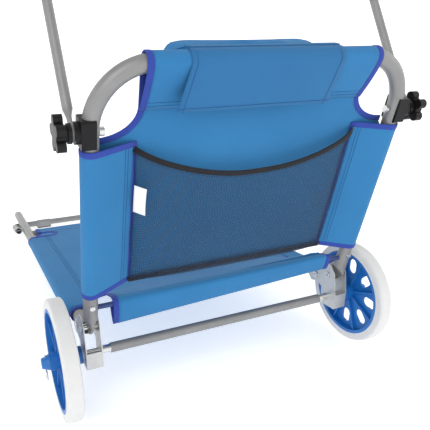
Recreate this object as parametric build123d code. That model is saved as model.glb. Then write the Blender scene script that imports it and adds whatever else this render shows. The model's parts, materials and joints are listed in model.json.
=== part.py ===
"""Beach cart lounger: a tube seat frame on two wheels, with a folding back, a clamped hoop and a front foot.

Frame: +X right as seen from behind, +Y towards the front of the seat, +Z up, in millimetres.
The back's parts are modelled upright in their own frame (x across, y out of the front face, z up the tubes)
and then leaned back about +X.
"""
from build123d import *
import math
import os

os.makedirs("parts", exist_ok=True)

# ---- Driving dimensions ----
SIDE_X = 231.0            # centre plane of the back's tubes and of the hinge brackets
SEAT_X = 239.0            # centre plane of the seat's side tubes ahead of their joggle
FRAME_TUBE_D = 22.0       # back and seat tubes
TUBE_WALL = 1.2
FLAT_RUN = 12.0           # length over which a round tube turns into its flat end
FABRIC = 1.3              # canvas thickness
FIT = 0.3                 # clearance of cloth round a tube, and of neighbours on other bodies
RUN = 0.06                # radial running clearance of pins and shafts
TOUCH = 0.1               # clearance of saddles and blocks clamped on a tube

WHEEL_R = 94.5
TYRE_DEPTH = 14.5
TYRE_W = 24.0
WHEEL_X = 275.8           # centre plane of a wheel
HUB_IN_X = 246.4          # inner face of the hub
HUB_OUT_X = 295.0         # outer face of the hub
HUB_R = 14.0
RIM_WALL = 6.0
DISC_T = 3.0
HOLES = 8
HOLE_PITCH_R = 52.0
HOLE_LONG = 28.0
HOLE_WIDE = 18.0
RIB_T = 3.0

AXLE_ROD_D = 10.0
AXLE_TUBE_D = 16.0
AXLE_TUBE_HALF = 200.0
SPACER_D = 13.0
CAP_LENGTH = 12.0
CAP_R = 12.5
RING_R = 8.0
RING_WIRE_D = 2.4

PIVOT_Z = 140.0           # hinge of the back, above the axle
PIN_D = 6.0
PIN_HEAD_R = 5.5
PIN_HEAD_T = 2.2
PIN_BORE = 3.2            # the pins are tubular rivets
BRACKET_T = 1.5
CHANNEL_GAP = 23.0        # inside width of the hinge bracket
BRACKET_REAR_Y = -24.0
WEB_LOW_Z = 80.0
WEB_HIGH_Z = 108.0

LEAN = 13.6               # the back leans this far behind upright, in degrees
BACK_FOOT_Y = -13.1       # lower end of the back's round tube
BACK_FOOT_Z = 163.1
BACK_HEIGHT = 378.8       # from there to the centre of the top bar
BACK_BEND_R = 78.0
BAR_S = 20.0              # height of the back's lower cross bar up the tubes
BAR_D = 8.0
TUBE_RIVET_S = 30.0       # rivets through the side tubes above their pressed ends
FLAT_T = 4.0              # a tube end pressed flat
FLAT_W = 30.0
PRESS_EDGE = 0.4          # the pressed end's shoulder stands this much proud of its flat
LAP = 1.0                 # how far a pressed end runs into its round tube

SLEEVE_LOW_S = 47.0
SHEET_LOW_S = 50.0
SLEEVE_HIGH_S = 277.0
SEAM_X = 172.0            # inner seam of the back's side sleeves
TOP_HALF = 161.0          # half width of the sleeve on the top bar
TOP_HEM_S = 318.0
POCKET_LOW_S = 52.0
POCKET_SAG = 46.0
POCKET_DEPTH = 27.0
NET = 1.2
TAPE = 8.0

PILLOW_SHIFT = -19.0
PILLOW_W = 234.0
PILLOW_T = 42.0
PILLOW_H = 140.0
FLAP_SHIFT = -11.0
FLAP_W = 219.0
FLAP_LOW_S = 322.0

CLAMP_S = 299.4           # axis of the hoop's clamp up the tubes
BLOCK_IN_X = 226.0
BLOCK_OUT_X = 244.4
BLOCK_W = 28.0
BLOCK_H = 36.0
BOLT_D = 6.0
DISC_R = 12.0
HOOP_D = 12.5
HOOP_X = 252.0
HOOP_FLAT_T = 3.0
HOOP_FLAT_W = 17.0
HOOP_FLAT_RUN = 15.0      # length of the flat end past its bolt
HOOP_ROUND_RUN = 30.0     # where the hoop is round again
HOOP_ARM = 420.0
HOOP_BEND_R = 62.0
HOOP_LEAN = 31.6          # the hoop leans this far ahead of upright, in degrees
KNOB_R = 23.0
KNOB_HUB_T = 3.8
KNOB_T = 11.0

SEAT_REAR_Y = 20.0        # rear end of the seat's side tubes, inside the brackets
SEAT_REF_Y = 61.0
SEAT_REF_Z = 123.0
SEAT_SLOPE = 6.79         # the seat falls towards the front, in degrees
SEAT_FRONT_Y = 884.0
JOGGLE_Y = 72.0
JOGGLE_RUN = 40.0
SEAT_SLING_REAR_Y = 62.0
SEAT_SLEEVE_REAR_Y = 80.0
SEAT_SLEEVE_FRONT_Y = 545.0
SEAT_SEAM_IN = 35.0       # the sewn edge of a seat sleeve lies this far inside its tube
FRONT_BAR_Y = 636.0
FRONT_BAR_D = 16.0
FRONT_HALF = 214.0        # half width of the cloth sleeve on the front bar
HEM_DEPTH = 46.0          # from the front bar back to its sleeve's seam
RIVET_Y = 34.0
SLEEVE_TURN = 248.0       # a sleeve leaves its tube at this angle, in degrees

FOOT_D = 16.0
FOOT_BAR_Y = 822.0
FOOT_PIVOT_Y = 690.0
FOOT_BEND_R = 38.0
FOOT_SPACER = 2.5
FOOT_CLIP_X = 174.0
FOOT_CLIP_W = 38.0
FOOT_CLIP_T = 1.6
PAD_T = 3.0

# ---- Places worked out from the sizes above ----
TUBE_R = FRAME_TUBE_D / 2
CLOTH_IN = TUBE_R + FIT
CLOTH_OUT = CLOTH_IN + FABRIC
AXLE_Z = WHEEL_R
CHEEK_IN = SIDE_X - CHANNEL_GAP / 2
CHEEK_OUT = SIDE_X + CHANNEL_GAP / 2
PIN_X = HUB_OUT_X + 0.4 + CAP_LENGTH / 2
FOOT_Z = PAD_T + FOOT_CLIP_T + FOOT_D / 2
SLOPE_TAN = math.tan(math.radians(SEAT_SLOPE))
SLOPE_COS = math.cos(math.radians(SEAT_SLOPE))
LEAN_SIN = math.sin(math.radians(LEAN))
LEAN_COS = math.cos(math.radians(LEAN))
BACK_TOP_Y = BACK_FOOT_Y - BACK_HEIGHT * LEAN_SIN - (CLOTH_OUT + FIT + FABRIC)
CENTRE_Y = (SEAT_FRONT_Y + BACK_TOP_Y) / 2
SHIFT = Location((0, -CENTRE_Y, 0))
BACK = SHIFT * Location((0, BACK_FOOT_Y, BACK_FOOT_Z), (LEAN, 0, 0))
PIVOT_N = -BACK_FOOT_Y * LEAN_COS + (PIVOT_Z - BACK_FOOT_Z) * LEAN_SIN
PIVOT_S = BACK_FOOT_Y * LEAN_SIN + (PIVOT_Z - BACK_FOOT_Z) * LEAN_COS
HOOP = BACK * Location((0, 0, CLAMP_S), (-LEAN - HOOP_LEAN, 0, 0))


def seat_z(y):
    """Height of the seat tubes' centre line at y."""
    return SEAT_REF_Z - (y - SEAT_REF_Y) * SLOPE_TAN


SEAT = SHIFT * Location((0, SEAT_REF_Y, SEAT_REF_Z), (-SEAT_SLOPE, 0, 0))


def seat_run(y):
    """Distance along the sloping seat from its reference point to y."""
    return (y - SEAT_REF_Y) / SLOPE_COS


def cylinder_x(radius, x0, x1, y=0.0, z=0.0):
    """A round bar along X between x0 and x1."""
    return Pos((x0 + x1) / 2, y, z) * Rot(0, 90, 0) * Cylinder(radius, abs(x1 - x0))


def tube_along(path, radius):
    """A round bar of the given radius swept along a path."""
    start = path.position_at(0)
    section = Plane(origin=start, z_dir=path.tangent_at(0)) * Circle(radius)
    return sweep(section, path=path)


def hollow_along(path, radius):
    """A tube of the given outer radius along a path, with the frame's wall."""
    return tube_along(path, radius) - tube_along(path, radius - TUBE_WALL)


def box_between(low, high):
    """A box from its lowest to its highest corner."""
    centre = [(a + b) / 2 for a, b in zip(low, high)]
    return Pos(*centre) * Box(*[b - a for a, b in zip(low, high)])


def across(profile_plane_points, x0, x1):
    """A closed outline of (y, z) points carried along X from x0 to x1."""
    face = make_face(Polyline(*[(x0, y, z) for y, z in profile_plane_points], close=True))
    return extrude(face, amount=x1 - x0, dir=(1, 0, 0))


def save(name, shape, place=None):
    """Write one sub-part to its STEP file."""
    moved = place * shape if place is not None else shape
    export_step(Compound(children=list(moved.solids())) if len(moved.solids()) > 1 else moved.solids()[0],
                f"parts/{name}.step")


SIDES = (("left", -1), ("right", 1))


# ---- Back ----
def back_path():
    """Centre line of the back's U tube, in the back's own frame."""
    return FilletPolyline((-SIDE_X, 0, 0), (-SIDE_X, 0, BACK_HEIGHT), (SIDE_X, 0, BACK_HEIGHT),
                          (SIDE_X, 0, 0), radius=BACK_BEND_R)


def back_round(radius):
    """The back's U tube as a solid of the given radius."""
    return tube_along(back_path(), radius)


def back_frame():
    """The U tube with its two ends pressed flat round the hinge pins."""
    frame = hollow_along(back_path(), TUBE_R)
    for _, side in SIDES:
        x = side * SIDE_X
        low = Plane(origin=(x, 0, -FLAT_RUN)) * Rectangle(FLAT_T + PRESS_EDGE, FLAT_W + PRESS_EDGE)
        round_end = Plane(origin=(x, 0, 0)) * Circle(TUBE_R)
        collar = Pos(x, 0, LAP / 2) * Cylinder(TUBE_R, LAP)
        frame += loft([low, round_end]) + collar
        eye = Plane(origin=(x, 0, 0), x_dir=(0, 1, 0), z_dir=(1, 0, 0))
        plate = make_hull((Pos(PIVOT_N, PIVOT_S) * Circle(TUBE_R)).edges()
                          + (Pos(0, LAP - FLAT_RUN) * Rectangle(FLAT_W, 2 * LAP)).edges())
        frame += extrude(eye * plate, amount=FLAT_T / 2, both=True)
    hole = cylinder_x(PIN_D / 2 + RUN, -SIDE_X - 30, SIDE_X + 30, PIVOT_N, PIVOT_S)
    bolt = cylinder_x(BOLT_D / 2 + TOUCH, -SIDE_X - 30, SIDE_X + 30, 0, CLAMP_S)
    return frame - hole - bolt


def back_bar():
    """The lower cross bar, its ends shaped to the side tubes."""
    bar = cylinder_x(BAR_D / 2, -SIDE_X, SIDE_X, 0, BAR_S)
    bar -= cylinder_x(BAR_D / 2 - TUBE_WALL, -SIDE_X, SIDE_X, 0, BAR_S)
    for _, side in SIDES:
        bar -= Pos(side * SIDE_X, 0, BAR_S) * Cylinder(TUBE_R, 4 * TUBE_R)
    return bar


def back_rivets():
    """Rivet heads behind the side tubes, above their pressed ends."""
    heads = []
    for _, side in SIDES:
        head = Pos(side * SIDE_X, -TUBE_R - 1.0, TUBE_RIVET_S) * Rot(90, 0, 0) * Cylinder(4.0, 3.0)
        head -= Pos(side * SIDE_X, 0, TUBE_RIVET_S) * Cylinder(TUBE_R, 4 * TUBE_R)
        heads.append(head)
    return Compound(children=heads)


def teardrop(x_tube, x_seam, reach):
    """Outline of a cloth sleeve: round the tube behind, flat to the seam in front (x, y)."""
    side = 1 if x_tube > 0 else -1
    front = CLOTH_OUT
    thin = 2 * FABRIC
    web = [(x_tube, front), (x_seam, front), (x_seam, front - thin)]
    angle = math.radians(SLEEVE_TURN)
    web.append((x_tube + side * CLOTH_OUT * math.cos(angle), CLOTH_OUT * math.sin(angle)))
    web.append((x_tube, 0))
    outline = make_face(Polyline(*[(x, y, 0) for x, y in web], close=True))
    return extrude(outline + Pos(x_tube, 0, 0) * Circle(CLOTH_OUT), amount=reach)


def back_sling():
    """The back's cloth: a front sheet, two side sleeves and the sleeve on the top bar."""
    front = CLOTH_OUT
    sheet_outline = FilletPolyline(
        (-SEAM_X, 0, SHEET_LOW_S), (-SEAM_X, 0, SLEEVE_HIGH_S), (-TOP_HALF, 0, SLEEVE_HIGH_S + 34.0),
        (-TOP_HALF, 0, BACK_HEIGHT), (TOP_HALF, 0, BACK_HEIGHT), (TOP_HALF, 0, SLEEVE_HIGH_S + 34.0),
        (SEAM_X, 0, SLEEVE_HIGH_S), (SEAM_X, 0, SHEET_LOW_S), radius=1.0, close=True)
    sheet = Pos(0, front, 0) * extrude(make_face(sheet_outline), amount=FABRIC, dir=(0, -1, 0))
    cloth = sheet
    for _, side in SIDES:
        cloth += Pos(0, 0, SLEEVE_LOW_S) * teardrop(side * SIDE_X, side * SEAM_X, SLEEVE_HIGH_S - SLEEVE_LOW_S)
    top = across([(front, BACK_HEIGHT), (front, TOP_HEM_S), (front - 2 * FABRIC, TOP_HEM_S),
                  (-CLOTH_OUT * 0.98, BACK_HEIGHT - CLOTH_OUT * 0.2), (0, BACK_HEIGHT)], -TOP_HALF, TOP_HALF)
    cloth += top
    cloth += cylinder_x(CLOTH_OUT, -TOP_HALF, TOP_HALF, 0, BACK_HEIGHT)
    return cloth - back_round(CLOTH_IN)


def pocket_outline(inset):
    """Section of the net pocket seen from above: its back panel and slanting ends (x, y)."""
    front = CLOTH_OUT - FABRIC
    back = front - POCKET_DEPTH
    half = SEAM_X - 0.4 - inset
    slant = 14.0
    return [(-half, front), (-half + slant, back + inset), (half - slant, back + inset), (half, front)]


def pocket_solid(inset, low, high):
    """The pocket's section carried up the back from low to high."""
    points = [(x, y, low) for x, y in pocket_outline(inset)]
    return extrude(make_face(Polyline(*points, close=True)), amount=high - low)


def pocket_cut(rise):
    """The space over the pocket's sagging mouth; rise lifts it up the back."""
    top = SLEEVE_HIGH_S
    arc = ThreePointArc((-SEAM_X, 0, top - TAPE + rise), (0, 0, top - TAPE - POCKET_SAG + rise),
                        (SEAM_X, 0, top - TAPE + rise))
    lid = Polyline((SEAM_X, 0, top - TAPE + rise), (SEAM_X, 0, top + 60), (-SEAM_X, 0, top + 60),
                   (-SEAM_X, 0, top - TAPE + rise))
    return extrude(make_face(Curve() + arc + lid), amount=60.0, both=True)


def pocket_shell():
    """The pocket's walls and floor, before its mouth is cut."""
    outer = pocket_solid(0, POCKET_LOW_S, SLEEVE_HIGH_S)
    inner = pocket_solid(NET, POCKET_LOW_S + NET, SLEEVE_HIGH_S + 1)
    return outer - inner


def mesh_pocket():
    """The net of the pocket, between its two tapes."""
    low_tape = box_between((-SEAM_X, -60, 0), (SEAM_X, 60, POCKET_LOW_S + TAPE))
    return pocket_shell() - pocket_cut(0) - low_tape


def pocket_top_tape():
    """The woven tape round the pocket's mouth."""
    return (pocket_shell() & pocket_cut(0)) - pocket_cut(TAPE)


def pocket_bottom_tape():
    """The woven tape along the pocket's foot."""
    low_tape = box_between((-SEAM_X, -60, 0), (SEAM_X, 60, POCKET_LOW_S + TAPE))
    return pocket_shell() & low_tape


def pillow():
    """The head cushion in front of the top bar."""
    high = BACK_HEIGHT + CLOTH_OUT
    low = high - PILLOW_H
    front = CLOTH_OUT + FIT
    block = box_between((PILLOW_SHIFT - PILLOW_W / 2, front, low), (PILLOW_SHIFT + PILLOW_W / 2, front + PILLOW_T, high))
    return fillet(block.edges().filter_by(Axis.X), 10.0)


def pillow_flap():
    """The cloth flap that hooks the cushion over the top bar."""
    inner = CLOTH_OUT + FIT
    outer = inner + FABRIC
    x0 = FLAP_SHIFT - FLAP_W / 2
    x1 = FLAP_SHIFT + FLAP_W / 2
    ring = cylinder_x(outer, x0, x1, 0, BACK_HEIGHT) - cylinder_x(inner, x0 - 1, x1 + 1, 0, BACK_HEIGHT)
    ring &= box_between((x0, -outer, BACK_HEIGHT), (x1, 0, BACK_HEIGHT + outer))
    front = box_between((x0, 0, BACK_HEIGHT + inner), (x1, CLOTH_OUT + FIT, BACK_HEIGHT + outer))
    front &= box_between((x0, 0, BACK_HEIGHT), (x1, CLOTH_OUT + FIT, BACK_HEIGHT + CLOTH_OUT + FIT + FABRIC))
    rear = box_between((x0, -outer, FLAP_LOW_S), (x1, -inner, BACK_HEIGHT))
    return ring + front + rear


# ---- Hoop and its clamps ----
def clamp_block(side):
    """The moulded block that seats the clamp on the outer half of a side tube."""
    block = box_between((BLOCK_IN_X, -BLOCK_W / 2, CLAMP_S - BLOCK_H / 2),
                        (BLOCK_OUT_X, BLOCK_W / 2, CLAMP_S + BLOCK_H / 2))
    block = chamfer(block.edges().filter_by(Axis.X), 2.0)
    if side < 0:
        block = mirror(block, about=Plane.YZ)
    bore = cylinder_x(BOLT_D / 2 + TOUCH, side * 200, side * 260, 0, CLAMP_S)
    return block - back_round(TUBE_R + TOUCH) - bore


def clamp_ring(side, x0, x1, radius):
    """A ribbed disc of the clamp, bored for its bolt."""
    disc = cylinder_x(radius, side * x0, side * x1, 0, CLAMP_S)
    return disc - cylinder_x(BOLT_D / 2 + TOUCH, side * 200, side * 300, 0, CLAMP_S)


def clamp_bolt(side):
    """The bolt through tube, block and hoop, with its round head inside the frame."""
    head_x = SIDE_X - TUBE_R - 5.0
    bolt = cylinder_x(BOLT_D / 2, side * head_x, side * (HOOP_X + 16.0), 0, CLAMP_S)
    bolt += cylinder_x(5.5, side * (head_x - 1.0), side * (SIDE_X - TUBE_R + 0.6), 0, CLAMP_S)
    return bolt - (back_round(TUBE_R) - cylinder_x(BOLT_D / 2 + TOUCH, -300, 300, 0, CLAMP_S))


def wing_knob(side):
    """The lobed knob that tightens the clamp."""
    disc_out = HOOP_X + HOOP_FLAT_T / 2 + 4.6
    star = Circle(KNOB_R * 0.62)
    lobes = 5
    lobe_r = KNOB_R * 0.30
    for n in range(lobes):
        angle = math.radians(90 + 360 * n / lobes)
        star += Pos((KNOB_R - lobe_r) * math.cos(angle), (KNOB_R - lobe_r) * math.sin(angle)) * Circle(lobe_r)
    body = Pos(0, 0, KNOB_HUB_T) * extrude(star, amount=KNOB_T)
    body += Cylinder(10.0, KNOB_HUB_T + 1, align=(Align.CENTER, Align.CENTER, Align.MIN))
    body -= Cylinder(BOLT_D / 2 + RUN, 16.0 - HOOP_FLAT_T / 2, align=(Align.CENTER, Align.CENTER, Align.MIN))
    turn = Rot(0, 90, 0) if side > 0 else Rot(0, -90, 0)
    return Pos(side * (disc_out + 0.2), 0, CLAMP_S) * turn * body


def hoop_path():
    """Centre line of the hoop's round tube, in the hoop's own frame."""
    return FilletPolyline((-HOOP_X, 0, HOOP_ROUND_RUN), (-HOOP_X, 0, HOOP_ARM), (HOOP_X, 0, HOOP_ARM),
                          (HOOP_X, 0, HOOP_ROUND_RUN), radius=HOOP_BEND_R)


def handle_hoop():
    """The hoop of thin tube, its ends pressed flat for the clamp bolts."""
    hoop = hollow_along(hoop_path(), HOOP_D / 2)
    for _, side in SIDES:
        x = side * HOOP_X
        low = Plane(origin=(x, 0, HOOP_FLAT_RUN)) * Rectangle(HOOP_FLAT_T, HOOP_FLAT_W)
        high = Plane(origin=(x, 0, HOOP_ROUND_RUN)) * Circle(HOOP_D / 2)
        collar = Pos(x, 0, HOOP_ROUND_RUN + LAP / 2) * Cylinder(HOOP_D / 2, LAP)
        hoop += loft([low, high]) + collar
        eye = Plane(origin=(x, 0, 0), x_dir=(0, 1, 0), z_dir=(1, 0, 0))
        length = HOOP_FLAT_RUN + LAP
        tab = Circle(HOOP_FLAT_W / 2) + Pos(0, length / 2) * Rectangle(HOOP_FLAT_W, length)
        hoop += extrude(eye * tab, amount=HOOP_FLAT_T / 2, both=True)
    return hoop - cylinder_x(BOLT_D / 2 + RUN, -300, 300, 0, 0)


# ---- Brackets, axle and wheels ----
def cheek_outline():
    """Side view of a hinge bracket's cheek as (y, z) edges: foot, belly, forward lobe and rounded top."""
    return FilletPolyline((0, BRACKET_REAR_Y, WEB_LOW_Z), (0, 12, 77), (0, 15, 110), (0, 29, 114), (0, 46, 109),
                          (0, 57, 119), (0, 23, 151), (0, 8, 161), (0, -6, 160), (0, -17, 148),
                          (0, BRACKET_REAR_Y, WEB_HIGH_Z + 4), radius=3.0, close=True)


def bracket(side):
    """A folded hinge bracket: two cheeks joined by a web behind the axle."""
    cheek = make_face(cheek_outline())
    inner = Pos(CHEEK_IN - BRACKET_T, 0, 0) * extrude(cheek, amount=BRACKET_T, dir=(1, 0, 0))
    outer = Pos(CHEEK_OUT, 0, 0) * extrude(cheek, amount=BRACKET_T, dir=(1, 0, 0))
    web = box_between((CHEEK_IN - BRACKET_T, BRACKET_REAR_Y, WEB_LOW_Z),
                      (CHEEK_OUT + BRACKET_T, BRACKET_REAR_Y + BRACKET_T, WEB_HIGH_Z))
    body = inner + outer + web
    body -= cylinder_x(AXLE_ROD_D / 2 + TOUCH, 180, 280, 0, AXLE_Z)
    body -= cylinder_x(PIN_D / 2 + TOUCH, 180, 280, 0, PIVOT_Z)
    body -= cylinder_x(PIN_D / 2 + TOUCH, 180, 280, RIVET_Y, seat_z(RIVET_Y))
    return body if side > 0 else mirror(body, about=Plane.YZ)


def cross_pin(side, y, z):
    """A headed pin through both cheeks of a bracket."""
    x0 = CHEEK_IN - BRACKET_T
    x1 = CHEEK_OUT + BRACKET_T
    pin = cylinder_x(PIN_D / 2, side * x0, side * x1, y, z)
    pin += cylinder_x(PIN_HEAD_R, side * (x0 - PIN_HEAD_T), side * x0, y, z)
    pin += cylinder_x(PIN_HEAD_R, side * x1, side * (x1 + PIN_HEAD_T / 2), y, z)
    return pin - cylinder_x(PIN_BORE / 2, side * (x0 - 10), side * (x1 + 10), y, z)


def pin_pair(y, z):
    """The same pin in the left and the right bracket."""
    return Compound(children=[cross_pin(side, y, z).solids()[0] for _, side in SIDES])


def axle_rod():
    """The through axle."""
    end = HUB_OUT_X + 0.4 + CAP_LENGTH - 2.0
    rod = cylinder_x(AXLE_ROD_D / 2, -end, end, 0, AXLE_Z)
    for _, side in SIDES:
        rod -= Pos(side * PIN_X, 0, AXLE_Z) * Cylinder(RING_WIRE_D / 2 + TOUCH, 60)
    return rod


def axle_tube():
    """The outer tube that spaces the brackets."""
    return (cylinder_x(AXLE_TUBE_D / 2, -AXLE_TUBE_HALF, AXLE_TUBE_HALF, 0, AXLE_Z)
            - cylinder_x(AXLE_ROD_D / 2 + TOUCH, -300, 300, 0, AXLE_Z))


def axle_spacers():
    """Thin collars between the axle tube and the brackets."""
    bore = cylinder_x(AXLE_ROD_D / 2 + TOUCH, -300, 300, 0, AXLE_Z)
    rings = []
    for _, side in SIDES:
        ring = cylinder_x(SPACER_D / 2, side * AXLE_TUBE_HALF, side * (CHEEK_IN - BRACKET_T), 0, AXLE_Z)
        rings.append((ring - bore).solids()[0])
    return Compound(children=rings)


def washers():
    """Washers between the brackets and the hubs."""
    bore = cylinder_x(AXLE_ROD_D / 2 + TOUCH, -300, 300, 0, AXLE_Z)
    rings = []
    for _, side in SIDES:
        ring = cylinder_x(10.0, side * (CHEEK_OUT + BRACKET_T), side * (HUB_IN_X - 0.2), 0, AXLE_Z)
        rings.append((ring - bore).solids()[0])
    return Compound(children=rings)


def wheel_disc():
    """The moulded wheel about +Z at the origin: hub, webbed disc with long holes, ribs and rim."""
    hub_low = HUB_IN_X - WHEEL_X
    hub_high = HUB_OUT_X - WHEEL_X
    rim_r = WHEEL_R - TYRE_DEPTH
    rim = Cylinder(rim_r, TYRE_W) - Cylinder(rim_r - RIM_WALL, TYRE_W + 2)
    disc = Cylinder(rim_r - RIM_WALL / 2, DISC_T)
    for n in range(HOLES):
        disc -= (Rot(0, 0, 360 * n / HOLES) * Pos(HOLE_PITCH_R, 0, 0)
                 * extrude(SlotOverall(HOLE_LONG, HOLE_WIDE), amount=DISC_T, both=True))
    hub = Pos(0, 0, (hub_low + hub_high) / 2) * Cylinder(HUB_R, hub_high - hub_low)
    wheel = rim + disc + hub
    length = rim_r - RIM_WALL / 2 - HUB_R + 2
    for n in range(HOLES):
        rib = Pos(HUB_R - 2 + length / 2, 0, 0) * Box(length, RIB_T, TYRE_W - 9)
        wheel += Rot(0, 0, 360 * (n + 0.5) / HOLES) * rib
    return wheel - Cylinder(AXLE_ROD_D / 2 + RUN, 100)


def tyre():
    """The foam tyre about +Z at the origin."""
    ring = Cylinder(WHEEL_R, TYRE_W) - Cylinder(WHEEL_R - TYRE_DEPTH, TYRE_W + 2)
    outer = [e for e in ring.edges().filter_by(GeomType.CIRCLE) if e.radius > WHEEL_R - 1]
    return fillet(outer, 4.5)


def on_axle(side, shape):
    """Place a wheel part on its end of the axle, its +Z side outwards."""
    turn = Rot(0, 90, 0) if side > 0 else Rot(0, -90, 0)
    return Pos(side * WHEEL_X, 0, AXLE_Z) * turn * shape


def hub_cap(side):
    """The tapered cap that retains a wheel."""
    x0 = HUB_OUT_X + 0.4
    cone = Pos(0, 0, CAP_LENGTH / 2) * Cone(CAP_R, CAP_R * 0.62, CAP_LENGTH)
    cone -= Cylinder(AXLE_ROD_D / 2 + TOUCH, 2 * (CAP_LENGTH - 2.0))
    turn = Rot(0, 90, 0) if side > 0 else Rot(0, -90, 0)
    cap = Pos(side * x0, 0, AXLE_Z) * turn * cone
    return cap - Pos(side * PIN_X, 0, AXLE_Z) * Cylinder(RING_WIRE_D / 2 + TOUCH, 60)


def ring_pin(side):
    """The split ring pin across a cap."""
    pin = Pos(side * PIN_X, 0, AXLE_Z) * Cylinder(RING_WIRE_D / 2, 2 * CAP_R + 2)
    ring = Pos(side * PIN_X, 0, AXLE_Z - CAP_R - 0.6 - RING_R) * Rot(0, 90, 0) * Torus(RING_R, RING_WIRE_D / 2)
    return pin + ring


# ---- Seat ----
def seat_tube(side):
    """A side tube of the seat, with the joggle ahead of its bracket and its rivet hole."""
    path = FilletPolyline((side * SIDE_X, seat_run(SEAT_REAR_Y), 0), (side * SIDE_X, seat_run(JOGGLE_Y), 0),
                          (side * SEAT_X, seat_run(JOGGLE_Y + JOGGLE_RUN), 0),
                          (side * SEAT_X, seat_run(SEAT_FRONT_Y) - TUBE_R * SLOPE_TAN, 0), radius=60.0)
    return hollow_along(path, TUBE_R)


def seat_front_bar():
    """The cross bar at the front of the seat, its ends shaped to the side tubes."""
    run = seat_run(FRONT_BAR_Y)
    bar = cylinder_x(FRONT_BAR_D / 2, -SEAT_X, SEAT_X, run, 0)
    bar -= cylinder_x(FRONT_BAR_D / 2 - TUBE_WALL, -SEAT_X, SEAT_X, run, 0)
    for _, side in SIDES:
        bar -= Pos(side * SEAT_X, run, 0) * Rot(90, 0, 0) * Cylinder(TUBE_R, 6 * FRONT_BAR_D)
    return bar


def seat_sleeve(side):
    """A cloth sleeve of the seat on its side tube, flat above and sewn under the sheet."""
    top = CLOTH_OUT
    x_tube = side * SEAT_X
    x_seam = side * (SEAT_X - SEAT_SEAM_IN)
    rear = seat_run(SEAT_SLEEVE_REAR_Y)
    front = seat_run(SEAT_SLEEVE_FRONT_Y)
    angle = math.radians(SLEEVE_TURN)
    web = [(x_tube, top), (x_seam, top), (x_seam, top - 2 * FABRIC),
           (x_tube + side * CLOTH_OUT * math.cos(angle), CLOTH_OUT * math.sin(angle)), (x_tube, 0)]
    face = make_face(Polyline(*[(x, rear, z) for x, z in web], close=True))
    sleeve = extrude(face, amount=front - rear, dir=(0, 1, 0))
    sleeve += Pos(x_tube, (rear + front) / 2, 0) * Rot(90, 0, 0) * Cylinder(CLOTH_OUT, front - rear)
    return sleeve


def seat_sling():
    """The seat's cloth: a top sheet, two side sleeves and the sleeve on the front bar."""
    rear = seat_run(SEAT_SLING_REAR_Y)
    bar = seat_run(FRONT_BAR_Y)
    half = SEAT_X - SEAT_SEAM_IN
    top = CLOTH_OUT
    cloth = box_between((-half, rear, top - FABRIC), (half, bar, top))
    for _, side in SIDES:
        cloth += seat_sleeve(side)
    bar_in = FRONT_BAR_D / 2 + FIT
    bar_out = bar_in + FABRIC
    cloth += cylinder_x(bar_out, -FRONT_HALF, FRONT_HALF, bar, 0)
    cloth += across([(bar, bar_out), (bar, 0), (bar - 0.9 * bar_out, -bar_out * 0.4), (bar - HEM_DEPTH, top - 2 * FABRIC),
                     (bar - HEM_DEPTH, top)], -FRONT_HALF, FRONT_HALF)
    cloth += across([(bar - HEM_DEPTH, top), (bar - HEM_DEPTH, top - 1.0), (bar, bar_out - 1.0), (bar, bar_out)],
                    -FRONT_HALF, FRONT_HALF)
    cloth -= cylinder_x(bar_in, -FRONT_HALF - 1, FRONT_HALF + 1, bar, 0)
    for _, side in SIDES:
        hollow = Pos(side * SEAT_X, 0, 0) * Rot(90, 0, 0) * Cylinder(CLOTH_IN, 4000)
        hollow &= box_between((-400, seat_run(SEAT_SLEEVE_REAR_Y) - 60, -50), (400, seat_run(SEAT_FRONT_Y), 50))
        cloth -= hollow
        cloth -= tube_along(FilletPolyline(
            (side * SIDE_X, seat_run(SEAT_REAR_Y), 0), (side * SIDE_X, seat_run(JOGGLE_Y), 0),
            (side * SEAT_X, seat_run(JOGGLE_Y + JOGGLE_RUN), 0),
            (side * SEAT_X, seat_run(SEAT_FRONT_Y), 0), radius=60.0), CLOTH_IN)
    return cloth


def rear_sleeve():
    """The seat cloth's rear sleeve, which hangs round the back's lower cross bar."""
    inner = BAR_D / 2 + FIT
    outer = inner + FABRIC
    half = SEAM_X + 18.0
    hang = across([(-outer, BAR_S), (-outer * 0.6, BAR_S - 25.0), (-outer * 0.6 + 2.4, BAR_S - 25.0),
                                  (outer, BAR_S)], -half, half)
    return hang + cylinder_x(outer, -half, half, 0, BAR_S) - cylinder_x(inner, -half - 1, half + 1, 0, BAR_S)


# ---- Front foot ----
FOOT_PIVOT_Z = seat_z(FOOT_PIVOT_Y)
FOOT_X = SEAT_X + TUBE_R + FOOT_SPACER + FOOT_D / 2
FOOT_DROP = math.degrees(math.atan2(FOOT_PIVOT_Z - FOOT_Z, FOOT_BAR_Y - FOOT_PIVOT_Y))
FOOT_REACH = math.hypot(FOOT_PIVOT_Z - FOOT_Z, FOOT_BAR_Y - FOOT_PIVOT_Y)
FOOT = SHIFT * Location((0, FOOT_PIVOT_Y, FOOT_PIVOT_Z), (-FOOT_DROP, 0, 0))


def front_foot():
    """The folding U foot, in its own frame with +Y from its pivots to its cross bar."""
    start = -14.0
    path = FilletPolyline((-FOOT_X, start, 0), (-FOOT_X, FOOT_REACH, 0), (FOOT_X, FOOT_REACH, 0),
                          (FOOT_X, start, 0), radius=FOOT_BEND_R)
    return hollow_along(path, FOOT_D / 2) - cylinder_x(BOLT_D / 2 + RUN, -400, 400, 0, 0)


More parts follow.
